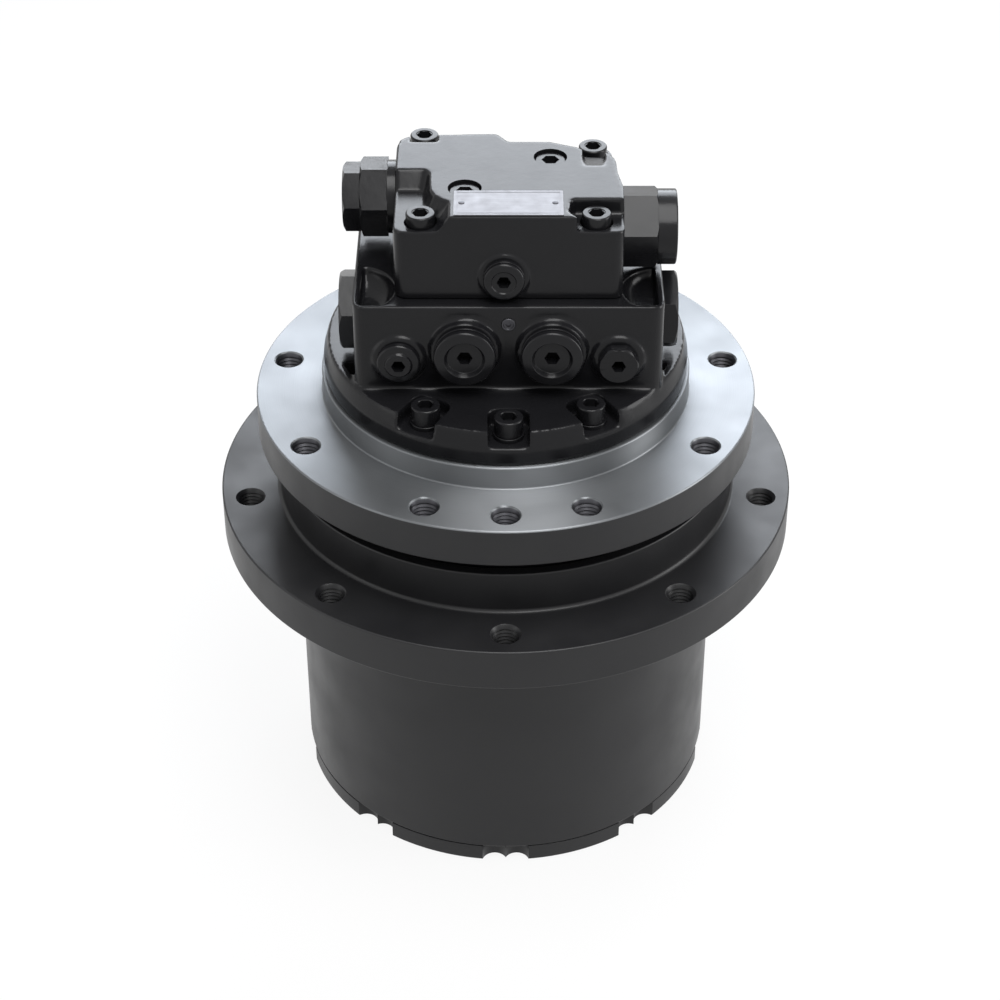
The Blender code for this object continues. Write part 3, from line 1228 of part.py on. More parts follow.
def valve_block_outline():
    """The valve block seen from above, with rounded rear corners and a step in its rear face."""
    step_x = VALVE_RIGHT - REAR_STEP_WIDTH
    step_y = VALVE_BLOCK_REAR - REAR_STEP_DEPTH
    half = REAR_STEP_DEPTH / 2
    quarter = math.pi / 2
    points = [(VALVE_LEFT, -VALVE_BLOCK_FRONT), (VALVE_RIGHT, -VALVE_BLOCK_FRONT)]
    centre = (VALVE_RIGHT - REAR_CORNER, step_y - REAR_CORNER)
    points += arc(centre, REAR_CORNER, 0, quarter, CORNER_STEPS)
    points += [(step_x + half, step_y), (step_x - half, VALVE_BLOCK_REAR)]
    centre = (VALVE_LEFT + REAR_CORNER, VALVE_BLOCK_REAR - REAR_CORNER)
    points += arc(centre, REAR_CORNER, quarter, quarter, CORNER_STEPS)
    return points


def make_valve_block():
    """The brake valve block, with lowered corners for its screws and the bores of its valves."""
    body = prism([valve_block_outline()], VALVE_BLOCK_LOW, VALVE_BLOCK_TOP)
    block = make_object("brake_valve_block", body, "gloss_black")
    ledge = VALVE_BLOCK_TOP - CORNER_LEDGE_DEPTH
    seat = ledge - SPOTFACE_DEPTH
    spots = valve_screw_spots()
    lugs = []
    for x, y in spots[2:]:
        lugs.append(moved(rod(LUG_RADIUS, VALVE_BLOCK_LOW, ledge, PLUG_SIDES), (x, y, 0)))
    fuse(block, gathered(lugs), "lugs")

    above = VALVE_BLOCK_TOP + CUT_OVERRUN
    front = -VALVE_BLOCK_FRONT - CUT_OVERRUN
    left_edge = VALVE_LEFT + LEFT_LEDGE_WIDTH
    right_edge = VALVE_RIGHT - RIGHT_LEDGE_WIDTH
    short_end = -VALVE_BLOCK_FRONT + RIGHT_LEDGE_LENGTH
    long_end = -VALVE_BLOCK_FRONT + LEFT_LEDGE_LENGTH
    left_outline = [
        (VALVE_LEFT - CUT_OVERRUN, front),
        (left_edge + LEDGE_CORNER, front),
        (left_edge + LEDGE_CORNER, short_end),
        (left_edge, short_end + LEDGE_CORNER),
        (left_edge, long_end),
        (VALVE_LEFT - CUT_OVERRUN, long_end),
    ]
    right_outline = [
        (right_edge + LEDGE_CORNER / 2, front),
        (VALVE_RIGHT + CUT_OVERRUN, front),
        (VALVE_RIGHT + CUT_OVERRUN, short_end),
        (right_edge, short_end),
        (right_edge, -VALVE_BLOCK_FRONT + LEDGE_CORNER),
    ]
    x, y = spots[2]
    half = NOTCH_WIDTH / 2
    notch = box((x - half, y - NOTCH_LENGTH, ledge), (x + half, VALVE_BLOCK_REAR + CUT_OVERRUN, above))
    ledges = [prism([left_outline], ledge, above), prism([right_outline], ledge, above), notch]
    cut(block, gathered(ledges), "ledges")
    cut(block, gathered([rear_ramp(spots[3], ledge)]), "ramp")

    bores = []
    for x, y in spots:
        spotface = rod(SCREW_HEAD_RADIUS + SPOTFACE_CLEARANCE, seat, above)
        bores.append(moved(spotface, (x, y, 0)))
    floor = VALVE_BLOCK_TOP - TOP_PLUG_RECESS - TOP_PLUG_LENGTH - FACE_GAP
    for x, y in (LEFT_TOP_PLUG, RIGHT_TOP_PLUG):
        recess = rod(TOP_PLUG_RADIUS + FACE_GAP, floor, above, PLUG_SIDES)
        bores.append(moved(recess, (CASTING_OFFSET + x, y, 0)))
    gauge_radius = outscribed(thread_radius(GAUGE_PLUG_RADIUS) + FACE_GAP, HOLE_SIDES)
    gauge = rod(gauge_radius, -PLUG_THREAD_LENGTH - CUT_OVERRUN, CUT_OVERRUN, HOLE_SIDES)
    bores.append(moved(gauge, gauge_spot(), FACING["front"]))
    spool_depth = CAP_STUB_LENGTH + SPOOL_LENGTH + SPOOL_END_ROOM
    spool_bore = rod(outscribed(SPOOL_RADIUS + SPOOL_CLEARANCE, SMALL_SIDES), -spool_depth, CUT_OVERRUN)
    bores.append(moved(spool_bore, (VALVE_LEFT, SPOOL_PLACE_Y, SPOOL_PLACE_Z), FACING["left"]))
    cut(block, gathered(bores), "bores")

    mouths = []
    stub_radius = outscribed(CAP_STUB_RADIUS + FACE_GAP, SMALL_SIDES)
    for facing, x, y in (("left", VALVE_LEFT, SPOOL_PLACE_Y), ("right", VALVE_RIGHT, CARTRIDGE_PLACE_Y)):
        mouth = rod(stub_radius, -CAP_STUB_LENGTH - FACE_GAP, CUT_OVERRUN)
        mouths.append(moved(mouth, (x, y, SPOOL_PLACE_Z), FACING[facing]))
    for x, y in spots:
        mouths.append(screw_hole(x, y, seat, VALVE_SCREW_LENGTH))
    cut(block, gathered(mouths), "mouths")


def rear_ramp(spot, ledge):
    """The sloping relief in front of the rear right screw."""
    half = RAMP_WIDTH / 2
    low = spot[1] - SCREW_HEAD_RADIUS - RAMP_LENGTH
    mesh = box((spot[0] - half, low, ledge), (spot[0] + half, spot[1], VALVE_BLOCK_TOP + CUT_OVERRUN))
    for vertex in mesh.verts:
        if vertex.co.z < VALVE_BLOCK_TOP and vertex.co.y < spot[1] - half:
            vertex.co.z = VALVE_BLOCK_TOP
    return mesh


def gauge_spot():
    """Where the gauge plug's seat is in the valve block's front face."""
    return (CASTING_OFFSET + GAUGE_PLUG_SHIFT, -VALVE_BLOCK_FRONT, VALVE_BLOCK_LOW + GAUGE_PLUG_HEIGHT)


def make_valve_fittings():
    """Screws, plugs and the bare nameplate of the valve block."""
    seat = VALVE_BLOCK_TOP - CORNER_LEDGE_DEPTH - SPOTFACE_DEPTH
    for number, (x, y) in enumerate(valve_screw_spots()):
        screw = cap_screw("valve_screw_%d" % (number + 1), VALVE_SCREW_LENGTH, False)
        place(screw, (x, y, seat + FACE_GAP))
    seat = VALVE_BLOCK_TOP - TOP_PLUG_RECESS - TOP_PLUG_LENGTH
    for name, (x, y) in (("left", LEFT_TOP_PLUG), ("right", RIGHT_TOP_PLUG)):
        plug = socket_plug("top_plug_" + name, TOP_PLUG_RADIUS, TOP_PLUG_LENGTH, 0, 0,
                           TOP_PLUG_SOCKET_RADIUS)
        place(plug, (CASTING_OFFSET + x, y, seat))
    thread = thread_radius(GAUGE_PLUG_RADIUS)
    plug = socket_plug("gauge_plug", GAUGE_PLUG_RADIUS, LARGE_PLUG_LENGTH, thread, PLUG_THREAD_LENGTH,
                       SMALL_SOCKET_RADIUS)
    x, y, z = gauge_spot()
    place(plug, (x, y - FACE_GAP, z), "front")
    low = VALVE_BLOCK_TOP + FACE_GAP
    left = CASTING_OFFSET - NAMEPLATE_LENGTH / 2
    front = NAMEPLATE_SETBACK - VALVE_BLOCK_FRONT - NAMEPLATE_DEPTH / 2
    corner = (left + NAMEPLATE_LENGTH, front + NAMEPLATE_DEPTH, low + NAMEPLATE_THICKNESS)
    make_object("nameplate", box((left, front, low), corner), "plate")


def make_cover_screws():
    """The three socket screws with washers in the motor cover's front pockets."""
    seat = COVER_TOP - COVER_POCKET_DEPTH
    for number, (x, y) in enumerate(cover_screw_spots()):
        screw = cap_screw("cover_screw_%d" % (number + 1), SCREW_SHANK_LENGTH, True)
        place(screw, (x, y, seat + FACE_GAP))


def hexagon_stack(name, sections, stub_radius, stub_length):
    """A fitting of stacked sections, each of (sides, radius, length), with a round stub below its seat."""
    turn = math.radians(CAP_TURN_DEG)
    piece = None
    height = FACE_GAP
    for number, (sides, radius, length) in enumerate(sections):
        outline = circle_points(radius, sides, turn=turn)
        low = height if piece is None else height - FACE_GAP
        mesh = prism([outline], low, height + length)
        if piece is None:
            piece = make_object(name, mesh, "gloss_black")
        else:
            fuse(piece, mesh, "section_%d" % number)
        height += length
    fuse(piece, rod(stub_radius, -stub_length, 2 * FACE_GAP, PLUG_SIDES), "stub")
    return piece


def make_spool_and_caps():
    """The counterbalance spool, its hexagonal cap on the left and the cartridge valve on the right."""
    sections = [
        (PLUG_SIDES, CAP_HEX_RADIUS, CAP_RING_LENGTH),
        (HEXAGON_SIDES, CAP_HEX_RADIUS, CAP_HEX_LENGTH),
        (HEXAGON_SIDES, CAP_END_RADIUS, CAP_END_LENGTH),
    ]
    cap = hexagon_stack("spool_cap", sections, CAP_STUB_RADIUS, CAP_STUB_LENGTH)
    bore = rod(CAP_BORE_RADIUS, -CAP_STUB_LENGTH - CUT_OVERRUN, CAP_RING_LENGTH)
    cut(cap, bore, "spring_bore")
    place(cap, (VALVE_LEFT, SPOOL_PLACE_Y, SPOOL_PLACE_Z), "left")

    sections = [
        (HEXAGON_SIDES, CAP_HEX_RADIUS, CARTRIDGE_HEX_LENGTH),
        (PLUG_SIDES, CARTRIDGE_END_RADIUS, CARTRIDGE_END_LENGTH),
    ]
    cartridge = hexagon_stack("cartridge_valve", sections, CAP_STUB_RADIUS, CAP_STUB_LENGTH)
    place(cartridge, (VALVE_RIGHT, CARTRIDGE_PLACE_Y, SPOOL_PLACE_Z), "right")

    half = SPOOL_LENGTH / 2
    groove = SPOOL_LENGTH * SPOOL_LAND_SHARE
    profile = [
        (0, -half),
        (SPOOL_RADIUS, -half),
        (SPOOL_RADIUS, -half + groove),
        (SPOOL_GROOVE_RADIUS, -half + groove),
        (SPOOL_GROOVE_RADIUS, -groove),
        (SPOOL_RADIUS, -groove),
        (SPOOL_RADIUS, groove),
        (SPOOL_GROOVE_RADIUS, groove),
        (SPOOL_GROOVE_RADIUS, half - groove),
        (SPOOL_RADIUS, half - groove),
        (SPOOL_RADIUS, half),
        (0, half),
    ]
    spool = make_object("counterbalance_spool", turned(profile, SMALL_SIDES), "bare_steel")
    middle = VALVE_LEFT + CAP_STUB_LENGTH + half + SPOOL_END_ROOM / 2 - SPOOL_STROKE / 2
    place(spool, (middle, SPOOL_PLACE_Y, SPOOL_PLACE_Z), "right")


def clear_scene():
    """Start from an empty scene."""
    for item in list(bpy.data.objects):
        bpy.data.objects.remove(item, do_unlink=True)


def main():
    """Build every piece of the drive."""
    clear_scene()
    make_hub_housing()
    make_end_cover()
    make_main_bearings()
    make_bearing_nut()
    make_floating_seal()
    make_spindle()
    make_suns()
    make_carriers()
    make_planets()
    make_shaft()
    make_cylinder_block()
    make_swash()
    make_valve_plate()
    make_brake()
    make_motor_cover()
    make_cover_screws()
    make_side_reliefs()
    make_valve_block()
    make_valve_fittings()
    make_spool_and_caps()


main()
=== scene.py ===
"""Looks of an excavator final drive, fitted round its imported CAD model.

Lengths are in metres, in the CAD model's own frame: +Z is up, -Y is the front, where the oil ports are,
and the origin is the middle of the end cover's outer face.
"""
import math

import bmesh
import bpy
from mathutils import Matrix, Vector


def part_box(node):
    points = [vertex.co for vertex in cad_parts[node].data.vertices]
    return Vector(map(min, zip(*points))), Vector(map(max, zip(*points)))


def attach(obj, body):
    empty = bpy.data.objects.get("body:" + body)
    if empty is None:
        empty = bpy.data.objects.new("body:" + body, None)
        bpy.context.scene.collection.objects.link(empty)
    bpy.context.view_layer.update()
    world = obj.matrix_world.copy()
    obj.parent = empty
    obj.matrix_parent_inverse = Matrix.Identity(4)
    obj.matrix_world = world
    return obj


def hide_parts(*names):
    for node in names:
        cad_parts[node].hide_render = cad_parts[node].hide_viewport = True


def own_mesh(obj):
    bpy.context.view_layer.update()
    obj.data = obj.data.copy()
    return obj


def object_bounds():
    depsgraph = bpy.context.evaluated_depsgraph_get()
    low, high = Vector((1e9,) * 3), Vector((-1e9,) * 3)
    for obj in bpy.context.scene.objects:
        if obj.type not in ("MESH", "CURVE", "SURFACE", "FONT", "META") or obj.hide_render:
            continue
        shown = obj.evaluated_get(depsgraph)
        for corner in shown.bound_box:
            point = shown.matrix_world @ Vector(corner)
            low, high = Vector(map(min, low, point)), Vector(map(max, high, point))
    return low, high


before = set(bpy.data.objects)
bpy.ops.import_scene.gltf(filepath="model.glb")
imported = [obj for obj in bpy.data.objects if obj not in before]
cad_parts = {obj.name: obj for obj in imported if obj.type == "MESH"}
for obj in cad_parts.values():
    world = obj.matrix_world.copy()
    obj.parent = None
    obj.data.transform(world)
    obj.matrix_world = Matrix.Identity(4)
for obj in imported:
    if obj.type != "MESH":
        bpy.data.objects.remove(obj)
cad_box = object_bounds()

# Facets of round pieces, roundings and how meshes are smoothed
RIM_SIDES = 192
FITTING_SIDES = 64
HOLE_SIDES = 28
CORNER_STEPS = 5
BEVEL_SEGMENTS = 2
SHADING_DEG = 32
EDGE_ROUND = 0.0010
FINE_ROUND = 0.0004
OVERRUN = 0.004
SEAM = 0.0003
WELD_DISTANCE = 0.000005

# Castings: voxel size, rounds of smoothing and the share of faces that stays
COVER_VOXEL = 0.0011
VALVE_VOXEL = 0.0009
SMOOTH_FACTOR = 0.5
SMOOTH_ROUNDS = 6
KEPT_SHARE = 0.30

# Hub housing and frame flange
DRUM_RADIUS = 0.125375
DRUM_CORE_RADIUS = 0.1100
SPROCKET_FLANGE_LOW = 0.1758
SPROCKET_FLANGE_HIGH = 0.2019
SPROCKET_HOLE_CIRCLE = 0.152975
SPROCKET_HOLES = 9
NECK_RADIUS = 0.134
NECK_BORE = 0.1278
SEAL_FLOOR = 0.1829
FILLET = 0.0025
FRAME_FLANGE_LOW = 0.2429
FRAME_FLANGE_HIGH = 0.2665
FRAME_HOLE_CIRCLE = 0.130
FRAME_HOLE_DEPTH = 0.021
FRAME_HOLE_DEGREES = (0, 20, 60, 100, 140, 180, -140, -100, -60, -20)
PILOT_RADIUS = 0.1065
SPINDLE_CORE_RADIUS = 0.100
SKIRT_OUTER = 0.1248
SKIRT_INNER = 0.1148
SKIRT_LOW = 0.2049
SEAL_CEILING = 0.2212
THREAD_MAJOR = 0.0080
THREAD_MINOR = 0.0071
THREAD_PITCH = 0.0024
THREAD_MOUTH = 0.0088

# End cover
END_COVER_HIGH = 0.011
END_SPIGOT_RADIUS = 0.1003
SCALLOP_RADIUS = 0.0075
SCALLOP_SPACING = 0.0134
SCALLOP_DEPTH = 0.0065

# Motor cover casting with its port block
COVER_LOW = 0.2808
COVER_RADIUS = 0.105
COVER_LIP = 0.291
COVER_TOP_RADIUS = 0.1022
COVER_TOP = 0.3015
COVER_SPIGOT_RADIUS = 0.0782
BLOCK_LEFT = -0.084
BLOCK_RIGHT = 0.087
BLOCK_FRONT = -0.060
BLOCK_REAR = 0.060
BLOCK_TOP = 0.355
BLOCK_CORNER = 0.007
POCKET_FLOOR = 0.2921
POCKET_HALF = 0.0113
COVER_SCREW_CIRCLE = 0.091
COVER_SCREW_SEAT = 0.2921
COVER_SCREW_DEGREES = (-29, 1, 31)
SHOULDER_RADIUS = 0.023
SHOULDER_Y = -0.040
SHOULDER_WALL = 0.0034
SHOULDER_DEPTH = 0.012
SHOULDER_LEVELS = 6
SHOULDER_FLOOR_SHARE = 0.35
SIDE_POCKET_REACH = 0.0975
SIDE_POCKET_REAR = -0.033
SIDE_POCKET_FRONT = -0.054
SIDE_POCKET_OVERLAP = 0.020

# Bosses as (radius, length), by the node of the plug that closes each port
LARGE_BOSS = (0.019, 0.005)
SMALL_BOSS = (0.0145, 0.0025)
GAUGE_BOSS = (0.0137, 0.0014)
PORT_BOSSES = {
    "port_plug_left": LARGE_BOSS,
    "port_plug_right": LARGE_BOSS,
    "pilot_plug_left": SMALL_BOSS,
    "pilot_plug_right": SMALL_BOSS,
}

# Orifice screw above the large ports: its place as (x, z), and heights from the block's front face
ORIFICE_SPOT = (0.0015, 0.3441)
ORIFICE_HOLE_RADIUS = 0.0041
ORIFICE_RADIUS = 0.0039
ORIFICE_LIP_RADIUS = 0.0029
ORIFICE_CUP_RADIUS = 0.0026
ORIFICE_LOW = -0.0010
ORIFICE_HIGH = 0.0008
ORIFICE_CUP_FLOOR = 0.0002
ORIFICE_SOCKET = 0.0017
ORIFICE_SOCKET_FLOOR = -0.0006

# Valve block, seen from above: its outline as (x, y, corner radius), from the front left round by the right
VALVE_LOW = 0.3553
VALVE_TOP = 0.4065
VALVE_LEFT = -0.0610
VALVE_RIGHT = 0.0640
VALVE_FRONT = -0.052
VALVE_OUTLINE = (
    (VALVE_LEFT, VALVE_FRONT, 0.007),
    (VALVE_RIGHT, VALVE_FRONT, 0.005),
    (0.0642, -0.0169, 0.003),
    (0.0617, -0.0014, 0.003),
    (0.0611, 0.0121, 0.004),
    (0.0575, 0.0201, 0.006),
    (0.0360, 0.0281, 0.004),
    (0.0249, 0.0327, 0.004),
    (0.0016, 0.0327, 0.004),
    (-0.0049, 0.0421, 0.004),
    (-0.0392, 0.0409, 0.002),
    (-0.0540, 0.0395, 0.004),
    (-0.0593, 0.0350, 0.004),
    (VALVE_LEFT, 0.0269, 0.003),
)

# Cuts in the valve block's top, which reach past its sides to these planes. A brow is a wall's upper edge
CUT_LEFT = -0.070
CUT_RIGHT = 0.070
CUT_FRONT = -0.060
CUT_REAR = 0.060
LEDGE = 0.3972
LEFT_LEDGE_WALL = (
    (-0.0370, CUT_FRONT),
    (-0.0375, -0.0420),
    (-0.0395, -0.0365),
    (-0.0430, -0.0310),
    (-0.0440, -0.0230),
    (-0.0445, -0.0150),
    (-0.0445, -0.0090),
    (-0.0465, -0.0070),
    (CUT_LEFT, -0.0070),
)
LEFT_LEDGE_BROW = (
    (-0.0300, CUT_FRONT),
    (-0.0300, -0.0345),
    (-0.0345, -0.0318),
    (-0.0385, -0.0275),
    (-0.0410, -0.0215),
    (-0.0415, -0.0120),
    (-0.0416, -0.0030),
    (-0.0440, 0.0010),
    (CUT_LEFT, 0.0010),
)
RIGHT_LEDGE_WALL = (
    (CUT_RIGHT, -0.0321, 0),
    (0.0356, -0.0321, 0.003),
    (0.0340, -0.0445, 0.003),
    (0.0390, VALVE_FRONT, 0),
    (0.0410, CUT_FRONT, 0),
)
NOTCH_HALF = 0.0076
NOTCH_FRONT = 0.0138
NOTCH_REAR = 0.020
RAMP_HALF = 0.0062
RAMP_LOW = 0.4015
RAMP_LOW_FRONT = 0.0250
RAMP_HIGH_FRONT = 0.0025

# Screws, plugs and bores of the valve block
LUG_RADIUS = 0.011
SCREW_SEAT = 0.3934
VALVE_SCREWS = ((-0.0460, -0.0410), (0.0490, -0.0410), (-0.0460, 0.0463), (0.0490, 0.0332))
TOP_PLUGS = {"left": (-0.0223, -0.0202), "right": (0.0248, 0.0144)}
TOP_PLUG_RADIUS = 0.0088
TOP_PLUG_HEIGHT = 0.006
TOP_PLUG_DEPTH = 0.0017
TOP_BORE_RADIUS = 0.0093
TOP_BORE_DEPTH = 0.009
SPOOL_Z = 0.382
SPOOL_Y = 0.0135
SPOOL_BORE = 0.0093
SPOOL_ROOM_LEFT = 0.0095
SPOOL_ROOM_RIGHT = 0.0145
CARTRIDGE_Y = -0.0193

# Screw plugs: stub, bore, hexagon sockets as (corner radius, depth), and heights from the face they seat on
PLUG_ROUND = 0.0016
PLUG_HIGH = 0.0070
PLUG_STUB_RADIUS = 0.007
PLUG_STUB_DEPTH = 0.005
PLUG_STUB = ((0, -PLUG_STUB_DEPTH, 0), (PLUG_STUB_RADIUS, -PLUG_STUB_DEPTH, 0), (PLUG_STUB_RADIUS, 0, 0))
PLUG_BORE_RADIUS = 0.0075
PLUG_BORE_DEPTH = 0.006
PLUG_GROOVE_SLOPE = 0.0002
LARGE_SOCKET = (0.0044, 0.0105)
GAUGE_SOCKET = (0.0040, 0.0105)
SMALL_SOCKET = (0.0040, 0.009)
TOP_SOCKET = (0.0050, 0.005)
LARGE_PLUG = {"radius": 0.0171, "washer": 0.0014, "groove_depth": 0.0011, "groove_width": 0.0008,
              "rim": 0.0062, "lip_radius": 0.0112, "cup_radius": 0.0097, "cup_floor": 0.0043}
GAUGE_PLUG = {"radius": 0.0113, "washer": 0.0032, "groove_depth": 0.0009, "groove_width": 0.0006,
              "rim": 0.0064, "lip_radius": 0.0070, "cup_radius": 0.0065, "cup_floor": 0.0062}
SMALL_PLUG_RADIUS = 0.0120
SMALL_PLUG_RIM = 0.0040
SMALL_PLUG_STEP_RADIUS = 0.0078
SMALL_PLUG_STEP = 0.0042
SMALL_PLUG_NOSE_RADIUS = 0.0070
SMALL_PLUG_HIGH = 0.0058
PILOT_CAP_CHAMFER = 0.0045
PILOT_CAP_ROUND_RADIUS = 0.0112

# Fittings at the sides, with heights from the face that each is screwed in
FITTING_CHAMFER = 0.003
FITTING_LAP = 0.0005
SPOOL_RING_BORE = 0.0105
SPOOL_RING_RADIUS = 0.0205
SPOOL_RING_HIGH = 0.005
SPOOL_HEAD_RADIUS = 0.0226
SPOOL_HEAD_HIGH = 0.0200
SPOOL_END_RADIUS = 0.0197
SPOOL_END_HIGH = 0.0298
SPOOL_TURN_DEG = -20.0
CARTRIDGE_HEAD_RADIUS = 0.0230
CARTRIDGE_HEAD_HIGH = 0.0195
CARTRIDGE_END_RADIUS = 0.0208
CARTRIDGE_END_HIGH = 0.0296
CARTRIDGE_LIP_RADIUS = 0.0120
CARTRIDGE_CUP_RADIUS = 0.0110
CARTRIDGE_CUP_DEPTH = 0.0008
CARTRIDGE_TURN_DEG = 14.0
RELIEF_RADIUS = 0.0234
RELIEF_HIGH = 0.0088
RELIEF_CHAMFER = 0.004
RELIEF_TURN_DEG = -8.0

# Nameplate, with the dome of its rivets as shares of their radius and height
RIVET_RADIUS = 0.0017
RIVET_HEIGHT = 0.0004
RIVET_INSET = 0.0042
RIVET_DOME_SHARES = ((1, 0.3), (0.75, 0.75), (0.4, 0.95))
BORDER_INSET = 0.0016
BORDER_WIDTH = 0.0005
BORDER_DEPTH = 0.0002
PANEL_DROP = 0.00004

# Cap screws
HEAD_RADIUS = 0.008
HEAD_HEIGHT = 0.010
WASHER_RADIUS = 0.0088
WASHER_HEIGHT = 0.0025
SCREW_SOCKET = 0.0046
SOCKET_DEPTH = 0.005

# Floor, surroundings and camera
FLOOR_RADIUS = 14.0
FLOOR_GAP = 0.0004
FLOOR_COLOR = (0.86, 0.86, 0.86)
FLOOR_GLOW_SHARE = 0.9
WORLD_LIGHT = 0.3
WHITE = (1, 1, 1)
COLD_WHITE = (0.88, 0.93, 1.0)
CAMERA_LENS = 89.53
CAMERA_SENSOR = 36.0
CAMERA_SHIFT = -0.0057
CAMERA_ELEVATION = 36.78
CAMERA_DISTANCE = 1.504
CAMERA_TARGET_Z = 0.1796

# Noise: where most of its values lie, and how much finer it is in a plain metal's roughness and relief
NOISE_LOW = 0.3
NOISE_HIGH = 0.7
ROUGHNESS_SCALE_RATIO = 1.7
RELIEF_SCALE_RATIO = 12

# Share of the lathe rings in the steel's colour, where stains have the rest
RINGS_SHARE = 0.6

# Plain finishes: name, dark and light colours, least and most roughness, noise scale, metallic or not
# Dark steel of the rivets and the orifice screw, also used as painted shade deep in the frame flange's
# tapped holes
BLACK_OXIDE_AND_HOLE_SHADE = ("black_oxide_steel_and_hole_shade", (0.05, 0.05, 0.055), (0.10, 0.10, 0.11), 0.35, 0.5)
PLAIN_FINISHES = {
    "bare_steel": ("ground_steel", (0.50, 0.51, 0.53), (0.62, 0.63, 0.65), 0.22, 0.34),
    "dark_steel": ("forged_steel", (0.08, 0.08, 0.085), (0.14, 0.14, 0.145), 0.35, 0.5),
    "gear_steel": ("gear_steel_case", (0.30, 0.30, 0.32), (0.42, 0.42, 0.44), 0.26, 0.38),
    "bronze": ("bronze_cast", (0.48, 0.30, 0.12), (0.60, 0.40, 0.19), 0.28, 0.42),
    "rubber": ("seal_rubber", (0.02, 0.02, 0.02), (0.035, 0.035, 0.035), 0.6, 0.8, 90, 0.0),
    "friction": ("friction_lining", (0.12, 0.10, 0.08), (0.20, 0.16, 0.12), 0.7, 0.9, 200, 0.0),
}

FACING = {
    "up": Matrix.Identity(3),
    "front": Matrix.Rotation(math.pi / 2, 3, "X"),
    "left": Matrix.Rotation(-math.pi / 2, 3, "Y"),
    "right": Matrix.Rotation(math.pi / 2, 3, "Y"),
}


def turned(profile, sides=RIM_SIDES):
    """A body of revolution about Z, from (radius, height) points that start on the axis or form a ring."""
    mesh = bmesh.new()
    rings = []
    for radius, height in profile:
        if radius == 0:
            rings.append([mesh.verts.new((0, 0, height))])
        else:
            rings.append([mesh.verts.new((x, y, height)) for x, y in circle(0, 0, radius, sides)])
    pairs = list(zip(rings, rings[1:]))
    if len(rings[0]) > 1:
        pairs.append((rings[-1], rings[0]))
    for low, high in pairs:
        for side in range(sides):
            after = (side + 1) % sides
            corners = [low[side % len(low)], low[after % len(low)]]
            corners += [high[after % len(high)], high[side % len(high)]]
            mesh.faces.new(list(dict.fromkeys(corners)))
    bmesh.ops.recalc_face_normals(mesh, faces=mesh.faces)
    return mesh


def loft(*levels):
    """A solid through (outline, height) levels, all with the same number of points."""
    mesh = bmesh.new()
    loops = [[mesh.verts.new((x, y, height)) for x, y in outline] for outline, height in levels]
    mesh.faces.new(loops[0])
    mesh.faces.new(loops[-1])
    for lower, upper in zip(loops, loops[1:]):
        for index in range(len(lower)):
            after = (index + 1) % len(lower)
            mesh.faces.new([lower[index], lower[after], upper[after], upper[index]])
    bmesh.ops.recalc_face_normals(mesh, faces=mesh.faces)
    return mesh


def prism(outline, low, high):
    """A straight solid on one outline."""
    return loft((outline, low), (outline, high))


def rounded(points):
    """An outline from (x, y, radius) corners, each radius drawn as an arc."""
    outline = []
    for index, (x, y, radius) in enumerate(points):
        if radius == 0:
            outline.append((x, y))
            continue
        corner = Vector((x, y))
        before = (Vector(points[index - 1][:2]) - corner).normalized()
        after = (Vector(points[(index + 1) % len(points)][:2]) - corner).normalized()
        half = before.angle(after) / 2
        centre = corner + (before + after).normalized() * (radius / math.sin(half))
        start = corner + before * (radius / math.tan(half)) - centre
        end = corner + after * (radius / math.tan(half)) - centre
        sweep = math.atan2(start.cross(end), start.dot(end))
        for step in range(CORNER_STEPS + 1):
            spoke = Matrix.Rotation(sweep * step / CORNER_STEPS, 2) @ start
            outline.append(tuple(centre + spoke))
    return outline


def circle(x, y, radius, sides=FITTING_SIDES, turn_deg=0.0):
    """A round outline, or one with few equal sides."""
    angles = [math.tau * side / sides + math.radians(turn_deg) for side in range(sides)]
    return [(x + radius * math.cos(a), y + radius * math.sin(a)) for a in angles]


def hexagon(radius, turn_deg=0.0):
    """A hexagon's outline by its corner radius."""
    return circle(0, 0, radius, 6, turn_deg)


def rectangle(left, right, front, rear, corner=0.0):
    """A rectangle's outline with rounded corners."""
    spots = ((left, front), (right, front), (right, rear), (left, rear))
    return rounded([(x, y, corner) for x, y in spots])


def rod(radius, low, high, sides=FITTING_SIDES):
    """A round bar along Z, used in cuts and fused forms."""
    return prism(circle(0, 0, radius, sides), low, high)


def moved(mesh, place, facing="up"):
    """The mesh turned to face a side and moved to its place."""
    mesh.transform(Matrix.Translation(place) @ FACING[facing].to_4x4())
    return mesh


def gathered(meshes):
    """Several meshes as one."""
    whole = bmesh.new()
    for mesh in meshes:
        part = bpy.data.meshes.new("part")
        mesh.to_mesh(part)
        mesh.free()
        whole.from_mesh(part)
        bpy.data.meshes.remove(part)
    return whole


def linked(name, data):
    """An object with this data, in the scene."""
    thing = bpy.data.objects.new(name, data)
    bpy.context.scene.collection.objects.link(thing)
    return thing


def new_piece(name, mesh):
    """An object made of the mesh."""
    data = bpy.data.meshes.new(name)
    mesh.to_mesh(data)
    mesh.free()
    return linked(name, data)


def baked(piece):
    """The piece with its modifiers worked into its mesh."""
    graph = bpy.context.evaluated_depsgraph_get()
    data = bpy.data.meshes.new_from_object(piece.evaluated_get(graph), depsgraph=graph)
    piece.modifiers.clear()
    old = piece.data
    piece.data = data
    bpy.data.meshes.remove(old)
    return piece


def combined(piece, mesh, operation):
    """The piece cut by, fused with or limited to another solid."""
    tool = new_piece("tool", mesh)
    step = piece.modifiers.new("combine", "BOOLEAN")
    step.operation = operation
    step.solver = "EXACT"
    step.object = tool
    baked(piece)
    bpy.data.objects.remove(tool)
    return piece


def cut(piece, *meshes):
    """The piece with these solids, which don't touch each other, taken out."""
    return combined(piece, gathered(meshes), "DIFFERENCE")


def fuse(piece, *meshes):
    """The piece with these solids, which don't touch each other, added."""
    return combined(piece, gathered(meshes), "UNION")


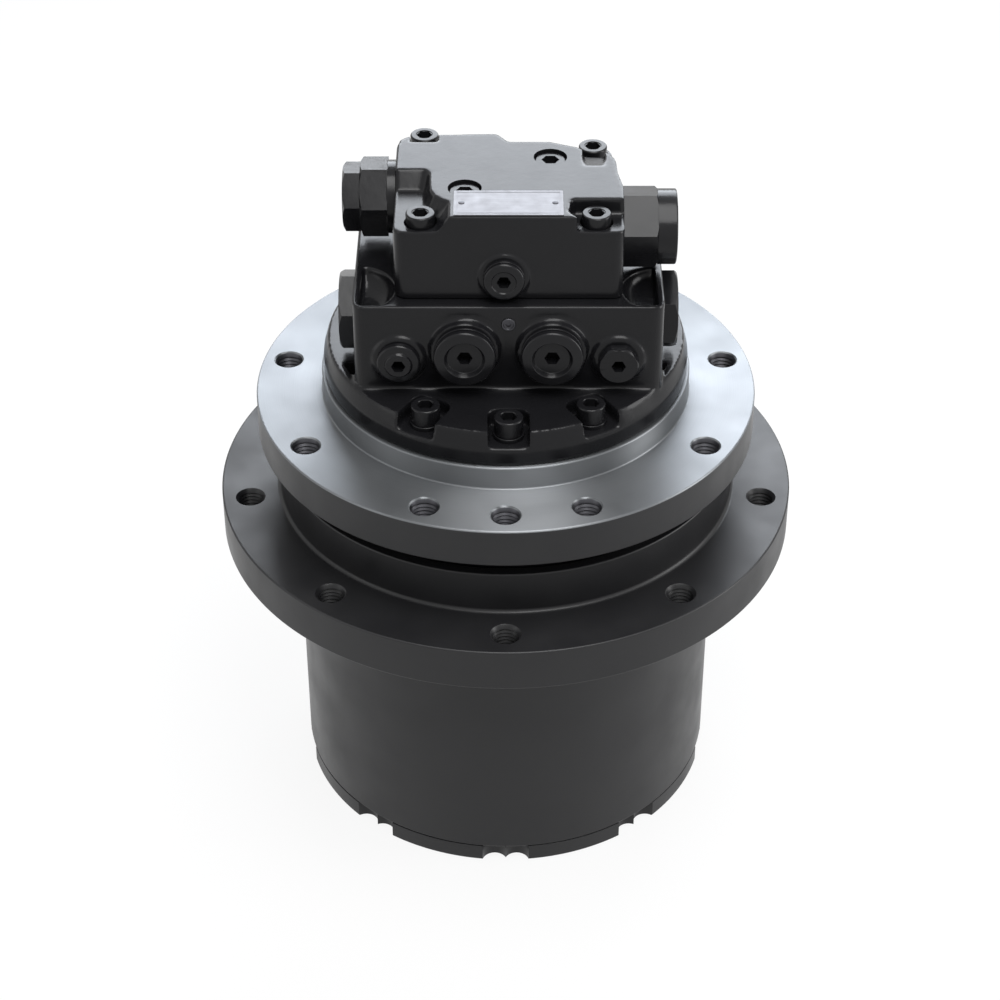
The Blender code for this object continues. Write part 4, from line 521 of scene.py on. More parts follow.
def bevelled(piece, width):
    """The piece with its hard edges rounded."""
    step = piece.modifiers.new("bevel", "BEVEL")
    step.width = width
    step.segments = BEVEL_SEGMENTS
    step.limit_method = "ANGLE"
    step.angle_limit = math.radians(SHADING_DEG)
    step.use_clamp_overlap = True
    return baked(piece)


def cast(piece, voxel):
    """The piece with the soft edges and fillets of a painted casting."""
    remesh = piece.modifiers.new("remesh", "REMESH")
    remesh.mode = "VOXEL"
    remesh.voxel_size = voxel
    smooth = piece.modifiers.new("smooth", "SMOOTH")
    smooth.factor = SMOOTH_FACTOR
    smooth.iterations = SMOOTH_ROUNDS
    fewer = piece.modifiers.new("fewer", "DECIMATE")
    fewer.ratio = KEPT_SHARE
    return baked(piece)


def welded(piece):
    """The piece without the sliver faces that cuts leave."""
    mesh = bmesh.new()
    mesh.from_mesh(piece.data)
    bmesh.ops.remove_doubles(mesh, verts=mesh.verts, dist=WELD_DISTANCE)
    bmesh.ops.dissolve_degenerate(mesh, dist=WELD_DISTANCE, edges=mesh.edges)
    mesh.to_mesh(piece.data)
    mesh.free()
    return piece


def shaded(piece):
    """Smooth shading with sharp edges kept sharp."""
    for face in piece.data.polygons:
        face.use_smooth = True
    piece.data.set_sharp_from_angle(angle=math.radians(SHADING_DEG))
    step = piece.modifiers.new("normals", "WEIGHTED_NORMAL")
    step.keep_sharp = True
    return piece


def dress(piece, material, body, nodes=()):
    """Finish, shade and place a piece on its body, in place of the CAD nodes that it stands for."""
    piece.data.materials.clear()
    piece.data.materials.append(material)
    shaded(welded(piece))
    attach(piece, body)
    if nodes:
        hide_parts(*nodes)
    return piece


def enamel(piece, paint, *nodes):
    """Dress a glossy black piece of the part that stands still."""
    return dress(piece, paint, "spindle_group", nodes)


def middle_of(node):
    """The middle of a CAD node's box."""
    low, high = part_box(node)
    return (low + high) / 2


def front_spot(node, y):
    """The middle of a CAD node's box, brought to a front face."""
    middle = middle_of(node)
    return (middle.x, y, middle.z)


def cad_copy(name, node):
    """A piece with the mesh of a CAD node."""
    return linked(name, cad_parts[node].data.copy())


def cad_core(name, node, radius):
    """The inside of a CAD node, within a radius of the axis: gear teeth, bores and bearing seats."""
    low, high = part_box(node)
    inside = rod(radius, low.z - OVERRUN, high.z + OVERRUN, RIM_SIDES)
    return combined(cad_copy(name, node), inside, "INTERSECT")


def threaded_hole(low, high):
    """The cutter of a tapped hole, with ridges for its thread and a wider mouth."""
    profile = [(0, low), (THREAD_MINOR, low)]
    height = low + THREAD_PITCH
    while height < high - THREAD_PITCH:
        profile.append((THREAD_MAJOR, height))
        profile.append((THREAD_MINOR, height + THREAD_PITCH / 2))
        height += THREAD_PITCH
    profile += [
        (THREAD_MAJOR, high - (THREAD_MOUTH - THREAD_MAJOR)),
        (THREAD_MOUTH, high),
        (THREAD_MOUTH, high + OVERRUN),
        (0, high + OVERRUN),
    ]
    return turned(profile, HOLE_SIDES)


def on_circle(radius, degrees, height=0):
    """A point on a circle about the axis, at an angle from the front towards the right."""
    angle = math.radians(degrees)
    return (radius * math.sin(angle), -radius * math.cos(angle), height)


def hub_profile():
    """Half section of the hub housing outside its ring gear and bearings."""
    low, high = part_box("hub_housing")
    return rounded([
        (DRUM_CORE_RADIUS, low.z, 0),
        (DRUM_RADIUS, low.z, EDGE_ROUND),
        (DRUM_RADIUS, SPROCKET_FLANGE_LOW, FILLET),
        (high.x, SPROCKET_FLANGE_LOW, EDGE_ROUND),
        (high.x, SPROCKET_FLANGE_HIGH, EDGE_ROUND),
        (NECK_RADIUS, SPROCKET_FLANGE_HIGH, FILLET),
        (NECK_RADIUS, high.z, EDGE_ROUND),
        (NECK_BORE, high.z, EDGE_ROUND),
        (NECK_BORE, SEAL_FLOOR, 0),
        (DRUM_CORE_RADIUS, SEAL_FLOOR, 0),
    ])


def make_hub(paint):
    """The hub: a fine shell with the sprocket's tapped holes, round the CAD model's own ring gear."""
    shell = new_piece("hub_shell", turned(hub_profile()))
    holes = []
    for number in range(SPROCKET_HOLES):
        hole = threaded_hole(SPROCKET_FLANGE_LOW - OVERRUN, SPROCKET_FLANGE_HIGH)
        holes.append(moved(hole, on_circle(SPROCKET_HOLE_CIRCLE, 360 * number / SPROCKET_HOLES)))
    cut(shell, *holes)
    dress(shell, paint, "hub_group", ["hub_housing"])
    core = cad_core("ring_gear_core", "hub_housing", DRUM_CORE_RADIUS - SEAM)
    dress(core, paint, "hub_group")


def spindle_profile():
    """Half section of the frame flange, its pilot and the skirt below, outside the spindle's core."""
    low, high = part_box("frame_spindle")
    return rounded([
        (SPINDLE_CORE_RADIUS, high.z, 0),
        (SPINDLE_CORE_RADIUS, SEAL_CEILING, 0),
        (SKIRT_INNER, SEAL_CEILING, 0),
        (SKIRT_INNER, SKIRT_LOW, 0),
        (SKIRT_OUTER, SKIRT_LOW, EDGE_ROUND),
        (SKIRT_OUTER, FRAME_FLANGE_LOW, FILLET),
        (high.x, FRAME_FLANGE_LOW, EDGE_ROUND),
        (high.x, FRAME_FLANGE_HIGH, EDGE_ROUND),
        (PILOT_RADIUS, FRAME_FLANGE_HIGH, EDGE_ROUND),
        (PILOT_RADIUS, high.z, EDGE_ROUND),
    ])


def make_spindle(steel, paint, dark):
    """The frame flange, bare on top, painted below and with painted shade deep in its tapped holes, and the
    spindle's core.
    """
    shell = new_piece("frame_flange", turned(spindle_profile()))
    hole_floor = FRAME_FLANGE_HIGH - FRAME_HOLE_DEPTH
    spots = [on_circle(FRAME_HOLE_CIRCLE, degrees) for degrees in FRAME_HOLE_DEGREES]
    cut(shell, *[moved(threaded_hole(hole_floor, FRAME_FLANGE_HIGH), spot) for spot in spots])
    dress(shell, steel, "spindle_group", ["frame_spindle"])
    shell.data.materials.append(paint)
    shell.data.materials.append(dark)
    bare, painted, painted_hole_shade = range(3)
    # Thread faces below the holes' mouths get the dark metal as painted shade, while the mouths stay bare
    # steel
    for face in shell.data.polygons:
        centre = Vector((face.center.x, face.center.y))
        in_hole = any((centre - Vector(spot[:2])).length < THREAD_MOUTH for spot in spots)
        if in_hole and face.center.z > hole_floor - SEAM:
            face.material_index = painted_hole_shade if face.center.z < FRAME_FLANGE_HIGH - THREAD_PITCH / 2 else bare
        elif face.center.z < FRAME_FLANGE_HIGH - EDGE_ROUND:
            face.material_index = painted
    core = cad_core("spindle_core", "frame_spindle", SPINDLE_CORE_RADIUS - SEAM)
    dress(core, steel, "spindle_group")


def make_end_cover(paint):
    """The end cover, its rim scalloped for spanner room, with holes for its two oil plugs."""
    low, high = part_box("end_cover")
    profile = rounded([
        (0, low.z, 0),
        (DRUM_RADIUS, low.z, EDGE_ROUND),
        (DRUM_RADIUS, END_COVER_HIGH, FINE_ROUND),
        (END_SPIGOT_RADIUS, END_COVER_HIGH, 0),
        (END_SPIGOT_RADIUS, high.z, 0),
        (0, high.z, 0),
    ])
    cover = new_piece("end_cover_disc", turned(profile))
    circle_radius = DRUM_RADIUS + SCALLOP_RADIUS - SCALLOP_DEPTH
    half = math.degrees(SCALLOP_SPACING / 2 / circle_radius)
    for side in (-half, half):
        scallops = []
        for number in range(SPROCKET_HOLES):
            spot = on_circle(circle_radius, 360 * number / SPROCKET_HOLES + side)
            scallop = rod(SCALLOP_RADIUS, low.z - OVERRUN, END_COVER_HIGH + OVERRUN, HOLE_SIDES)
            scallops.append(moved(scallop, spot))
        cut(cover, *scallops)
    holes = []
    for node in ("cover_plug_1", "cover_plug_2"):
        plug_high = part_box(node)[1]
        middle = middle_of(node)
        hole = rod(plug_high.x + SEAM, low.z - OVERRUN, plug_high.z + SEAM)
        holes.append(moved(hole, (middle.x, middle.y, 0)))
    cut(cover, *holes)
    dress(cover, paint, "hub_group", ["end_cover"])


def cover_base():
    """Half section of the motor cover's round base."""
    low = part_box("motor_cover")[0]
    return [
        (0, low.z),
        (COVER_SPIGOT_RADIUS, low.z),
        (COVER_SPIGOT_RADIUS, COVER_LOW),
        (COVER_RADIUS, COVER_LOW),
        (COVER_RADIUS, COVER_LIP),
        (COVER_TOP_RADIUS, COVER_TOP),
        (0, COVER_TOP),
    ]


def screw_pocket(degrees):
    """The pocket of one cover screw, open to the rim."""
    inner = -COVER_SCREW_CIRCLE + POCKET_HALF
    outer = -COVER_RADIUS - OVERRUN
    outline = rounded([
        (-POCKET_HALF, outer, 0),
        (POCKET_HALF, outer, 0),
        (POCKET_HALF, inner, POCKET_HALF / 2),
        (-POCKET_HALF, inner, POCKET_HALF / 2),
    ])
    pocket = prism(outline, POCKET_FLOOR, COVER_TOP + OVERRUN)
    pocket.transform(Matrix.Rotation(math.radians(degrees), 4, "Z"))
    return pocket


def shoulder_pocket(side):
    """The bowl-shaped scoop in one of the port block's top front corners."""
    edge = BLOCK_LEFT if side < 0 else BLOCK_RIGHT
    wall = edge - side * SHOULDER_WALL
    front = BLOCK_FRONT + SHOULDER_WALL
    points = [(wall, front)]
    for step in range(FITTING_SIDES):
        angle = math.tau * step / FITTING_SIDES
        x = edge - side * SHOULDER_RADIUS * math.cos(angle)
        y = SHOULDER_Y + SHOULDER_RADIUS * math.sin(angle)
        if (wall - x) * side > 0 and y > front:
            points.append((x, y))
    points.sort(key=lambda point: math.atan2(point[1] - SHOULDER_Y, (edge - point[0]) * side))
    levels = []
    for step in range(SHOULDER_LEVELS + 1):
        angle = math.pi / 2 * step / SHOULDER_LEVELS
        share = SHOULDER_FLOOR_SHARE + (1 - SHOULDER_FLOOR_SHARE) * math.sin(angle)
        outline = [(wall + (x - wall) * share, front + (y - front) * share) for x, y in points]
        levels.append((outline, BLOCK_TOP - SHOULDER_DEPTH * math.cos(angle)))
    levels.append((points, BLOCK_TOP + OVERRUN))
    return loft(*levels)


def side_pocket(side):
    """The low place beside the port block, behind the cover's rim."""
    middle = (SIDE_POCKET_FRONT + SIDE_POCKET_REAR) / 2
    rim = []
    for y in (SIDE_POCKET_FRONT, middle, SIDE_POCKET_REAR):
        rim.append((side * math.sqrt(SIDE_POCKET_REACH ** 2 - y ** 2), y))
    under_block = rim[0][0] - side * SIDE_POCKET_OVERLAP
    outline = [(under_block, SIDE_POCKET_REAR), (under_block, SIDE_POCKET_FRONT)] + rim
    return prism(outline, POCKET_FLOOR, COVER_TOP + OVERRUN)


def plug_bore(boss_length):
    """The cutter of a plug's bore in a boss, facing up from the face that the boss stands on."""
    return rod(PLUG_BORE_RADIUS, boss_length - PLUG_BORE_DEPTH, boss_length + OVERRUN)


def make_motor_cover(paint):
    """The motor cover casting: round base, port block, bosses, screw pockets and scooped shoulders."""
    cover = new_piece("motor_cover_casting", turned(cover_base()))
    cut(cover, side_pocket(-1), side_pocket(1))
    outline = rectangle(BLOCK_LEFT, BLOCK_RIGHT, BLOCK_FRONT, BLOCK_REAR, BLOCK_CORNER)
    fuse(cover, prism(outline, COVER_LIP, BLOCK_TOP))
    bosses = []
    bores = []
    for node, (radius, length) in PORT_BOSSES.items():
        spot = front_spot(node, BLOCK_FRONT)
        bosses.append(moved(rod(radius, -OVERRUN, length), spot, "front"))
        bores.append(moved(plug_bore(length), spot, "front"))
    fuse(cover, *bosses)
    pockets = [screw_pocket(degrees) for degrees in COVER_SCREW_DEGREES]
    cut(cover, *pockets, shoulder_pocket(-1), shoulder_pocket(1))
    cast(cover, COVER_VOXEL)
    shaft_low, shaft_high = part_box("shaft_bearing_upper")
    bearing_bore = rod(shaft_high.x + SEAM, shaft_low.z - OVERRUN, shaft_high.z + EDGE_ROUND)
    orifice_place = (ORIFICE_SPOT[0], BLOCK_FRONT, ORIFICE_SPOT[1])
    orifice = moved(rod(ORIFICE_HOLE_RADIUS, ORIFICE_LOW, OVERRUN), orifice_place, "front")
    cut(cover, bearing_bore, orifice, *bores)
    enamel(cover, paint, "motor_cover")


def left_ledge():
    """The lowered front left corner, with a sloping rear wall and an S-shaped inner wall."""
    corner = (CUT_LEFT, CUT_FRONT)
    return loft(([corner, *LEFT_LEDGE_WALL], LEDGE), ([corner, *LEFT_LEDGE_BROW], VALVE_TOP + FINE_ROUND))


def right_ledge():
    """The lowered front right corner."""
    return prism(rounded([(CUT_RIGHT, CUT_FRONT, 0), *RIGHT_LEDGE_WALL]), LEDGE, VALVE_TOP + OVERRUN)


def rear_notch(x, y):
    """The open notch round the rear left screw."""
    outline = rectangle(x - NOTCH_HALF, x + NOTCH_HALF, y - NOTCH_FRONT, y + NOTCH_REAR)
    return prism(outline, LEDGE, VALVE_TOP + OVERRUN)


def rear_ramp(x):
    """The sloping relief in front of the rear right screw."""
    low = rectangle(x - RAMP_HALF, x + RAMP_HALF, RAMP_LOW_FRONT, CUT_REAR)
    high = rectangle(x - RAMP_HALF, x + RAMP_HALF, RAMP_HIGH_FRONT, CUT_REAR)
    return loft((low, RAMP_LOW), (high, VALVE_TOP + FINE_ROUND))


def spool_bore():
    """The cutter of the counterbalance spool's bore, open to the left."""
    low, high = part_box("counterbalance_spool")
    length = SPOOL_ROOM_LEFT + high.x - low.x + SPOOL_ROOM_RIGHT
    return moved(rod(SPOOL_BORE, -length, OVERRUN), (low.x - SPOOL_ROOM_LEFT, SPOOL_Y, SPOOL_Z), "left")


def make_valve_block(paint):
    """The brake valve block casting with its ledges, spot faces and bores."""
    block = new_piece("valve_block_casting", prism(rounded(VALVE_OUTLINE), VALVE_LOW, VALVE_TOP))
    rear_left, rear_right = VALVE_SCREWS[2:]
    lugs = [prism(circle(*screw, LUG_RADIUS), VALVE_LOW, LEDGE) for screw in (rear_left, rear_right)]
    gauge_radius, gauge_length = GAUGE_BOSS
    gauge = front_spot("gauge_plug", VALVE_FRONT)
    fuse(block, *lugs, moved(rod(gauge_radius, -OVERRUN, gauge_length), gauge, "front"))
    cut(block, left_ledge(), right_ledge(), rear_notch(*rear_left), rear_ramp(rear_right[0]))
    cut(block, prism(circle(*rear_right, LUG_RADIUS), LEDGE, VALVE_TOP + OVERRUN))
    cast(block, VALVE_VOXEL)
    bores = []
    for x, y in VALVE_SCREWS:
        bores.append(prism(circle(x, y, HEAD_RADIUS + EDGE_ROUND), SCREW_SEAT, VALVE_TOP + OVERRUN))
    for x, y in TOP_PLUGS.values():
        bores.append(prism(circle(x, y, TOP_BORE_RADIUS), VALVE_TOP - TOP_BORE_DEPTH, VALVE_TOP + OVERRUN))
    cut(block, *bores, spool_bore(), moved(plug_bore(gauge_length), gauge, "front"))
    enamel(block, paint, "brake_valve_block")


def cap_screw(name, washer):
    """A socket head cap screw with its seat at the origin."""
    seat = WASHER_HEIGHT if washer else 0
    top = seat + HEAD_HEIGHT
    points = [(0, 0, 0), (HEAD_RADIUS, 0, 0)]
    if washer:
        points = [
            (0, 0, 0),
            (WASHER_RADIUS, 0, FINE_ROUND / 2),
            (WASHER_RADIUS, seat, FINE_ROUND),
            (HEAD_RADIUS - FINE_ROUND, seat, 0),
            (HEAD_RADIUS, seat + FINE_ROUND, 0),
        ]
    points += [(HEAD_RADIUS, top, EDGE_ROUND), (0, top, 0)]
    screw = new_piece(name, turned(rounded(points), FITTING_SIDES))
    cut(screw, prism(hexagon(SCREW_SOCKET), top - SOCKET_DEPTH, top + OVERRUN))
    rim = turned([
        (0, top - FINE_ROUND),
        (SCREW_SOCKET, top - FINE_ROUND),
        (SCREW_SOCKET + FINE_ROUND, top + SEAM),
        (0, top + SEAM),
    ], FITTING_SIDES)
    return cut(screw, rim)


def make_cap_screws(paint):
    """The valve block's and the motor cover's screws."""
    for number, (x, y) in enumerate(VALVE_SCREWS, 1):
        node = "valve_screw_%d" % number
        screw = cap_screw(node + "_head", False)
        moved(screw.data, (x, y, SCREW_SEAT))
        enamel(screw, paint, node)
    for number, degrees in enumerate(COVER_SCREW_DEGREES, 1):
        node = "cover_screw_%d" % number
        screw = cap_screw(node + "_head", True)
        moved(screw.data, on_circle(COVER_SCREW_CIRCLE, degrees, COVER_SCREW_SEAT))
        enamel(screw, paint, node)


def plug(name, profile, socket):
    """A screw plug with a hexagon socket, its seat at the origin, facing up."""
    radius, depth = socket
    top = max(height for across, height, corner in profile)
    made = new_piece(name, turned(rounded(profile), FITTING_SIDES))
    return cut(made, prism(hexagon(radius), top - depth, top + OVERRUN))


def washer_plug_profile(radius, washer, groove_depth, groove_width, rim, lip_radius, cup_radius, cup_floor):
    """Half section of a plug: its washer, a groove, its flange and the cup round its socket."""
    groove_low = washer + PLUG_GROOVE_SLOPE
    groove_high = groove_low + groove_width
    return [
        *PLUG_STUB,
        (radius, 0, 0),
        (radius, washer, FINE_ROUND),
        (radius - groove_depth, groove_low, 0),
        (radius - groove_depth, groove_high, 0),
        (radius, groove_high + PLUG_GROOVE_SLOPE, FINE_ROUND),
        (radius, rim, PLUG_ROUND),
        (lip_radius, PLUG_HIGH, FINE_ROUND),
        (cup_radius, cup_floor, FINE_ROUND),
        (0, cup_floor, 0),
    ]


def small_plug_profile():
    """Half section of a small port plug with a stepped face."""
    return [
        *PLUG_STUB,
        (SMALL_PLUG_RADIUS, 0, FINE_ROUND),
        (SMALL_PLUG_RADIUS, SMALL_PLUG_RIM, PLUG_ROUND),
        (SMALL_PLUG_STEP_RADIUS, SMALL_PLUG_STEP, FINE_ROUND),
        (SMALL_PLUG_NOSE_RADIUS, SMALL_PLUG_HIGH, EDGE_ROUND),
        (0, SMALL_PLUG_HIGH, 0),
    ]


def hexagon_cap(name, radius, low, high, chamfer, turn_deg=0.0):
    """A hexagon head along Z with its outer corners turned off."""
    made = new_piece(name, prism(hexagon(radius, turn_deg), low, high))
    flat = radius * math.cos(math.pi / 6)
    cone = [(0, low), (radius, low), (radius, high - chamfer / 2), (flat, high), (0, high)]
    combined(made, turned(cone, FITTING_SIDES), "INTERSECT")
    return bevelled(made, FINE_ROUND)


def pilot_cap(name):
    """The right pilot plug: a hexagon with rounded corners and a socket through it."""
    made = hexagon_cap(name, SMALL_PLUG_RADIUS, 0, SMALL_PLUG_HIGH, PILOT_CAP_CHAMFER)
    combined(made, rod(PILOT_CAP_ROUND_RADIUS, -OVERRUN, SMALL_PLUG_HIGH + OVERRUN), "INTERSECT")
    return cut(made, prism(hexagon(SMALL_SOCKET[0]), -OVERRUN, SMALL_PLUG_HIGH + OVERRUN))


def make_plugs(paint):
    """The plugs of the ports, of the gauge port and of the top of the valve block."""
    for node, (radius, length) in PORT_BOSSES.items():
        if node == "pilot_plug_right":
            made = pilot_cap(node + "_cap")
        elif node == "pilot_plug_left":
            made = plug(node + "_cap", small_plug_profile(), SMALL_SOCKET)
        else:
            made = plug(node + "_cap", washer_plug_profile(**LARGE_PLUG), LARGE_SOCKET)
        moved(made.data, front_spot(node, BLOCK_FRONT - length - SEAM), "front")
        enamel(made, paint, node)
    made = plug("gauge_plug_cap", washer_plug_profile(**GAUGE_PLUG), GAUGE_SOCKET)
    moved(made.data, front_spot("gauge_plug", VALVE_FRONT - SEAM), "front")
    enamel(made, paint, "gauge_plug")
    for side, (x, y) in TOP_PLUGS.items():
        profile = [
            (0, 0, 0),
            (TOP_PLUG_RADIUS, 0, 0),
            (TOP_PLUG_RADIUS, TOP_PLUG_HEIGHT, EDGE_ROUND),
            (0, TOP_PLUG_HEIGHT, 0),
        ]
        made = plug("top_plug_%s_cap" % side, profile, TOP_SOCKET)
        moved(made.data, (x, y, VALVE_TOP - TOP_PLUG_DEPTH - TOP_PLUG_HEIGHT))
        enamel(made, paint, "top_plug_" + side)


def make_spool_cap(paint):
    """The spool cap on the left: a sealing ring, a hexagon head and a smaller hexagon end."""
    ring = new_piece("spool_cap_ring", turned(rounded([
        (SPOOL_RING_BORE, 0, 0),
        (SPOOL_RING_RADIUS, 0, 0),
        (SPOOL_RING_RADIUS, SPOOL_RING_HIGH, FINE_ROUND),
        (SPOOL_RING_BORE, SPOOL_RING_HIGH, 0),
    ]), FITTING_SIDES))
    head = hexagon_cap("spool_cap_head", SPOOL_HEAD_RADIUS, SPOOL_RING_HIGH - FITTING_LAP, SPOOL_HEAD_HIGH,
                       FITTING_CHAMFER, SPOOL_TURN_DEG)
    end = hexagon_cap("spool_cap_end", SPOOL_END_RADIUS, SPOOL_HEAD_HIGH - FITTING_LAP, SPOOL_END_HIGH,
                      FITTING_CHAMFER, SPOOL_TURN_DEG)
    for made in (ring, head, end):
        moved(made.data, (VALVE_LEFT, SPOOL_Y, SPOOL_Z), "left")
    enamel(ring, paint, "spool_cap")
    enamel(head, paint)
    enamel(end, paint)


def make_cartridge_valve(paint):
    """The cartridge valve on the right: a hexagon head and a round end with a cupped face."""
    head = hexagon_cap("cartridge_valve_head", CARTRIDGE_HEAD_RADIUS, SEAM, CARTRIDGE_HEAD_HIGH,
                       FITTING_CHAMFER, CARTRIDGE_TURN_DEG)
    end_low = CARTRIDGE_HEAD_HIGH - FITTING_LAP
    cup_floor = CARTRIDGE_END_HIGH - CARTRIDGE_CUP_DEPTH
    end = new_piece("cartridge_valve_end", turned(rounded([
        (0, end_low, 0),
        (CARTRIDGE_END_RADIUS, end_low, 0),
        (CARTRIDGE_END_RADIUS, CARTRIDGE_END_HIGH, EDGE_ROUND),
        (CARTRIDGE_LIP_RADIUS, CARTRIDGE_END_HIGH, FINE_ROUND),
        (CARTRIDGE_CUP_RADIUS, cup_floor, 0),
        (0, cup_floor, 0),
    ]), FITTING_SIDES))
    for made in (head, end):
        moved(made.data, (VALVE_RIGHT, CARTRIDGE_Y, SPOOL_Z), "right")
    enamel(head, paint, "cartridge_valve")
    enamel(end, paint)


def make_relief_valves(paint):
    """The relief valves at both sides of the port block."""
    for side, edge in (("left", BLOCK_LEFT), ("right", BLOCK_RIGHT)):
        node = "relief_valve_" + side
        made = hexagon_cap(node + "_head", RELIEF_RADIUS, -SEAM, RELIEF_HIGH,
                           RELIEF_CHAMFER, RELIEF_TURN_DEG)
        middle = middle_of(node)
        moved(made.data, (edge, middle.y, middle.z), side)
        enamel(made, paint, node)


def nameplate_outline(inset, corner=0.0):
    """The plate's outline from above, some way in from its edges."""
    low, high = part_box("nameplate")
    return rectangle(low.x + inset, high.x - inset, low.y + inset, high.y - inset, corner)


def make_nameplate(metal, rivet_metal):
    """The bare plate with a fine groove for a border, and its two rivets."""
    low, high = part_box("nameplate")
    top = high.z - RIVET_HEIGHT
    sheet = prism(nameplate_outline(0, FINE_ROUND), VALVE_TOP + BORDER_DEPTH, top)
    plate = new_piece("nameplate_sheet", sheet)
    cut(plate, prism(nameplate_outline(BORDER_INSET), top - BORDER_DEPTH, top + OVERRUN))
    panel = nameplate_outline(BORDER_INSET + BORDER_WIDTH)
    fuse(plate, prism(panel, top - 2 * BORDER_DEPTH, top - PANEL_DROP))
    dress(plate, metal, "spindle_group", ["nameplate"])
    dome = [(RIVET_RADIUS * across, RIVET_HEIGHT * up) for across, up in RIVET_DOME_SHARES]
    profile = [(0, -RIVET_HEIGHT), (RIVET_RADIUS, -RIVET_HEIGHT), *dome, (0, RIVET_HEIGHT)]
    for side, x in (("left", low.x + RIVET_INSET), ("right", high.x - RIVET_INSET)):
        rivet = new_piece("rivet_" + side, turned(profile, HOLE_SIDES))
        moved(rivet.data, (x, middle_of("nameplate").y, top))
        dress(rivet, rivet_metal, "spindle_group")


def make_orifice_screw(paint):
    """The small set screw above the large ports."""
    profile = rounded([
        (0, ORIFICE_LOW, 0),
        (ORIFICE_RADIUS, ORIFICE_LOW, 0),
        (ORIFICE_RADIUS, ORIFICE_HIGH, FINE_ROUND),
        (ORIFICE_LIP_RADIUS, ORIFICE_HIGH, 0),
        (ORIFICE_CUP_RADIUS, ORIFICE_CUP_FLOOR, 0),
        (0, ORIFICE_CUP_FLOOR, 0),
    ])
    screw = new_piece("orifice_screw", turned(profile, HOLE_SIDES))
    cut(screw, prism(hexagon(ORIFICE_SOCKET), ORIFICE_SOCKET_FLOOR, OVERRUN))
    moved(screw.data, (ORIFICE_SPOT[0], BLOCK_FRONT, ORIFICE_SPOT[1]), "front")
    enamel(screw, paint)


def make_brake_spring(metal):
    """The brake's disc spring, a copy of its CAD node with a mesh of its own."""
    spring = cad_copy("brake_spring", "brake_disc_spring")
    dress(spring, metal, "spindle_group", ["brake_disc_spring"])
    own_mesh(spring)


def add_node(tree, kind, inputs):
    """A new node, its inputs linked to outputs or set to constants."""
    node = tree.nodes.new("ShaderNode" + kind)
    for socket, value in inputs.items():
        if isinstance(value, bpy.types.NodeSocket):
            tree.links.new(value, node.inputs[socket])
        else:
            node.inputs[socket].default_value = value
    return node


def calculated(tree, operation, first, second):
    """One sum of two outputs or numbers."""
    step = add_node(tree, "Math", {0: first, 1: second})
    step.operation = operation
    return step.outputs[0]


class Finish:
    """A material under construction: its shader, and short ways to add nodes."""

    def __init__(self, name, color, metallic, roughness):
        self.material = bpy.data.materials.new(name)
        self.material.use_nodes = True
        self.tree = self.material.node_tree
        self.shader = self.tree.nodes["Principled BSDF"]
        self.set("Base Color", (*color, 1))
        self.set("Metallic", metallic)
        self.set("Roughness", roughness)
        self.where = self.tree.nodes.new("ShaderNodeTexCoord").outputs["Object"]

    def set(self, socket, value):
        """A constant on the shader."""
        self.shader.inputs[socket].default_value = value

    def link(self, output, socket):
        """An output into one of the shader's sockets."""
        self.tree.links.new(output, self.shader.inputs[socket])

    def noise(self, scale, detail, vector=None):
        """A noise texture's value over the object's own space."""
        inputs = {"Scale": scale, "Detail": detail, "Vector": vector or self.where}
        return add_node(self.tree, "TexNoise", inputs).outputs["Fac"]

    def rough(self, value, low, high):
        """The roughness, spread over a range by a noise value."""
        ends = {"From Min": NOISE_LOW, "From Max": NOISE_HIGH, "To Min": low, "To Max": high}
        step = add_node(self.tree, "MapRange", {"Value": value, **ends})
        self.link(step.outputs["Result"], "Roughness")

    def math(self, operation, first, second):
        """One sum in this material."""
        return calculated(self.tree, operation, first, second)

    def layered(self, first, second, share):
        """A value with a share of a second one added."""
        return self.math("ADD", first, self.math("MULTIPLY", second, share))

    def tinted(self, fac, dark, light):
        """The base colour between two colours."""
        mix = self.tree.nodes.new("ShaderNodeMix")
        mix.data_type = "RGBA"
        mix.inputs["A"].default_value = (*dark, 1)
        mix.inputs["B"].default_value = (*light, 1)
        self.tree.links.new(fac, mix.inputs["Factor"])
        self.link(mix.outputs["Result"], "Base Color")

    def bump(self, height, strength, distance):
        """Small relief from a height."""
        step = add_node(self.tree, "Bump", {"Strength": strength, "Distance": distance, "Height": height})
        self.link(step.outputs["Normal"], "Normal")

    def grooves(self, scale):
        """Noise along the half section, the marks that a lathe tool leaves."""
        split = add_node(self.tree, "SeparateXYZ", {0: self.where})
        across = self.math("MULTIPLY", split.outputs["X"], split.outputs["X"])
        along = self.math("MULTIPLY", split.outputs["Y"], split.outputs["Y"])
        radius = self.math("SQRT", self.math("ADD", across, along), 0.0)
        place = add_node(self.tree, "CombineXYZ", {"X": radius, "Y": split.outputs["Z"]})
        return self.noise(scale, detail=2.0, vector=place.outputs[0])


def gloss_paint():
    """Thick glossy black enamel on castings and fittings."""
    finish = Finish("gloss_black_enamel", color=(0.008, 0.008, 0.009), metallic=0.0, roughness=0.2)
    clouds = finish.noise(scale=14, detail=4.0)
    finish.tinted(clouds, dark=(0.005, 0.005, 0.006), light=(0.010, 0.010, 0.011))
    finish.rough(finish.noise(scale=55, detail=5.0), low=0.15, high=0.27)
    waves = finish.noise(scale=240, detail=3.0)
    relief = finish.layered(waves, finish.noise(scale=1100, detail=2.0), share=0.25)
    finish.bump(relief, strength=0.22, distance=0.00025)
    finish.set("Specular IOR Level", 0.20)
    return finish.material


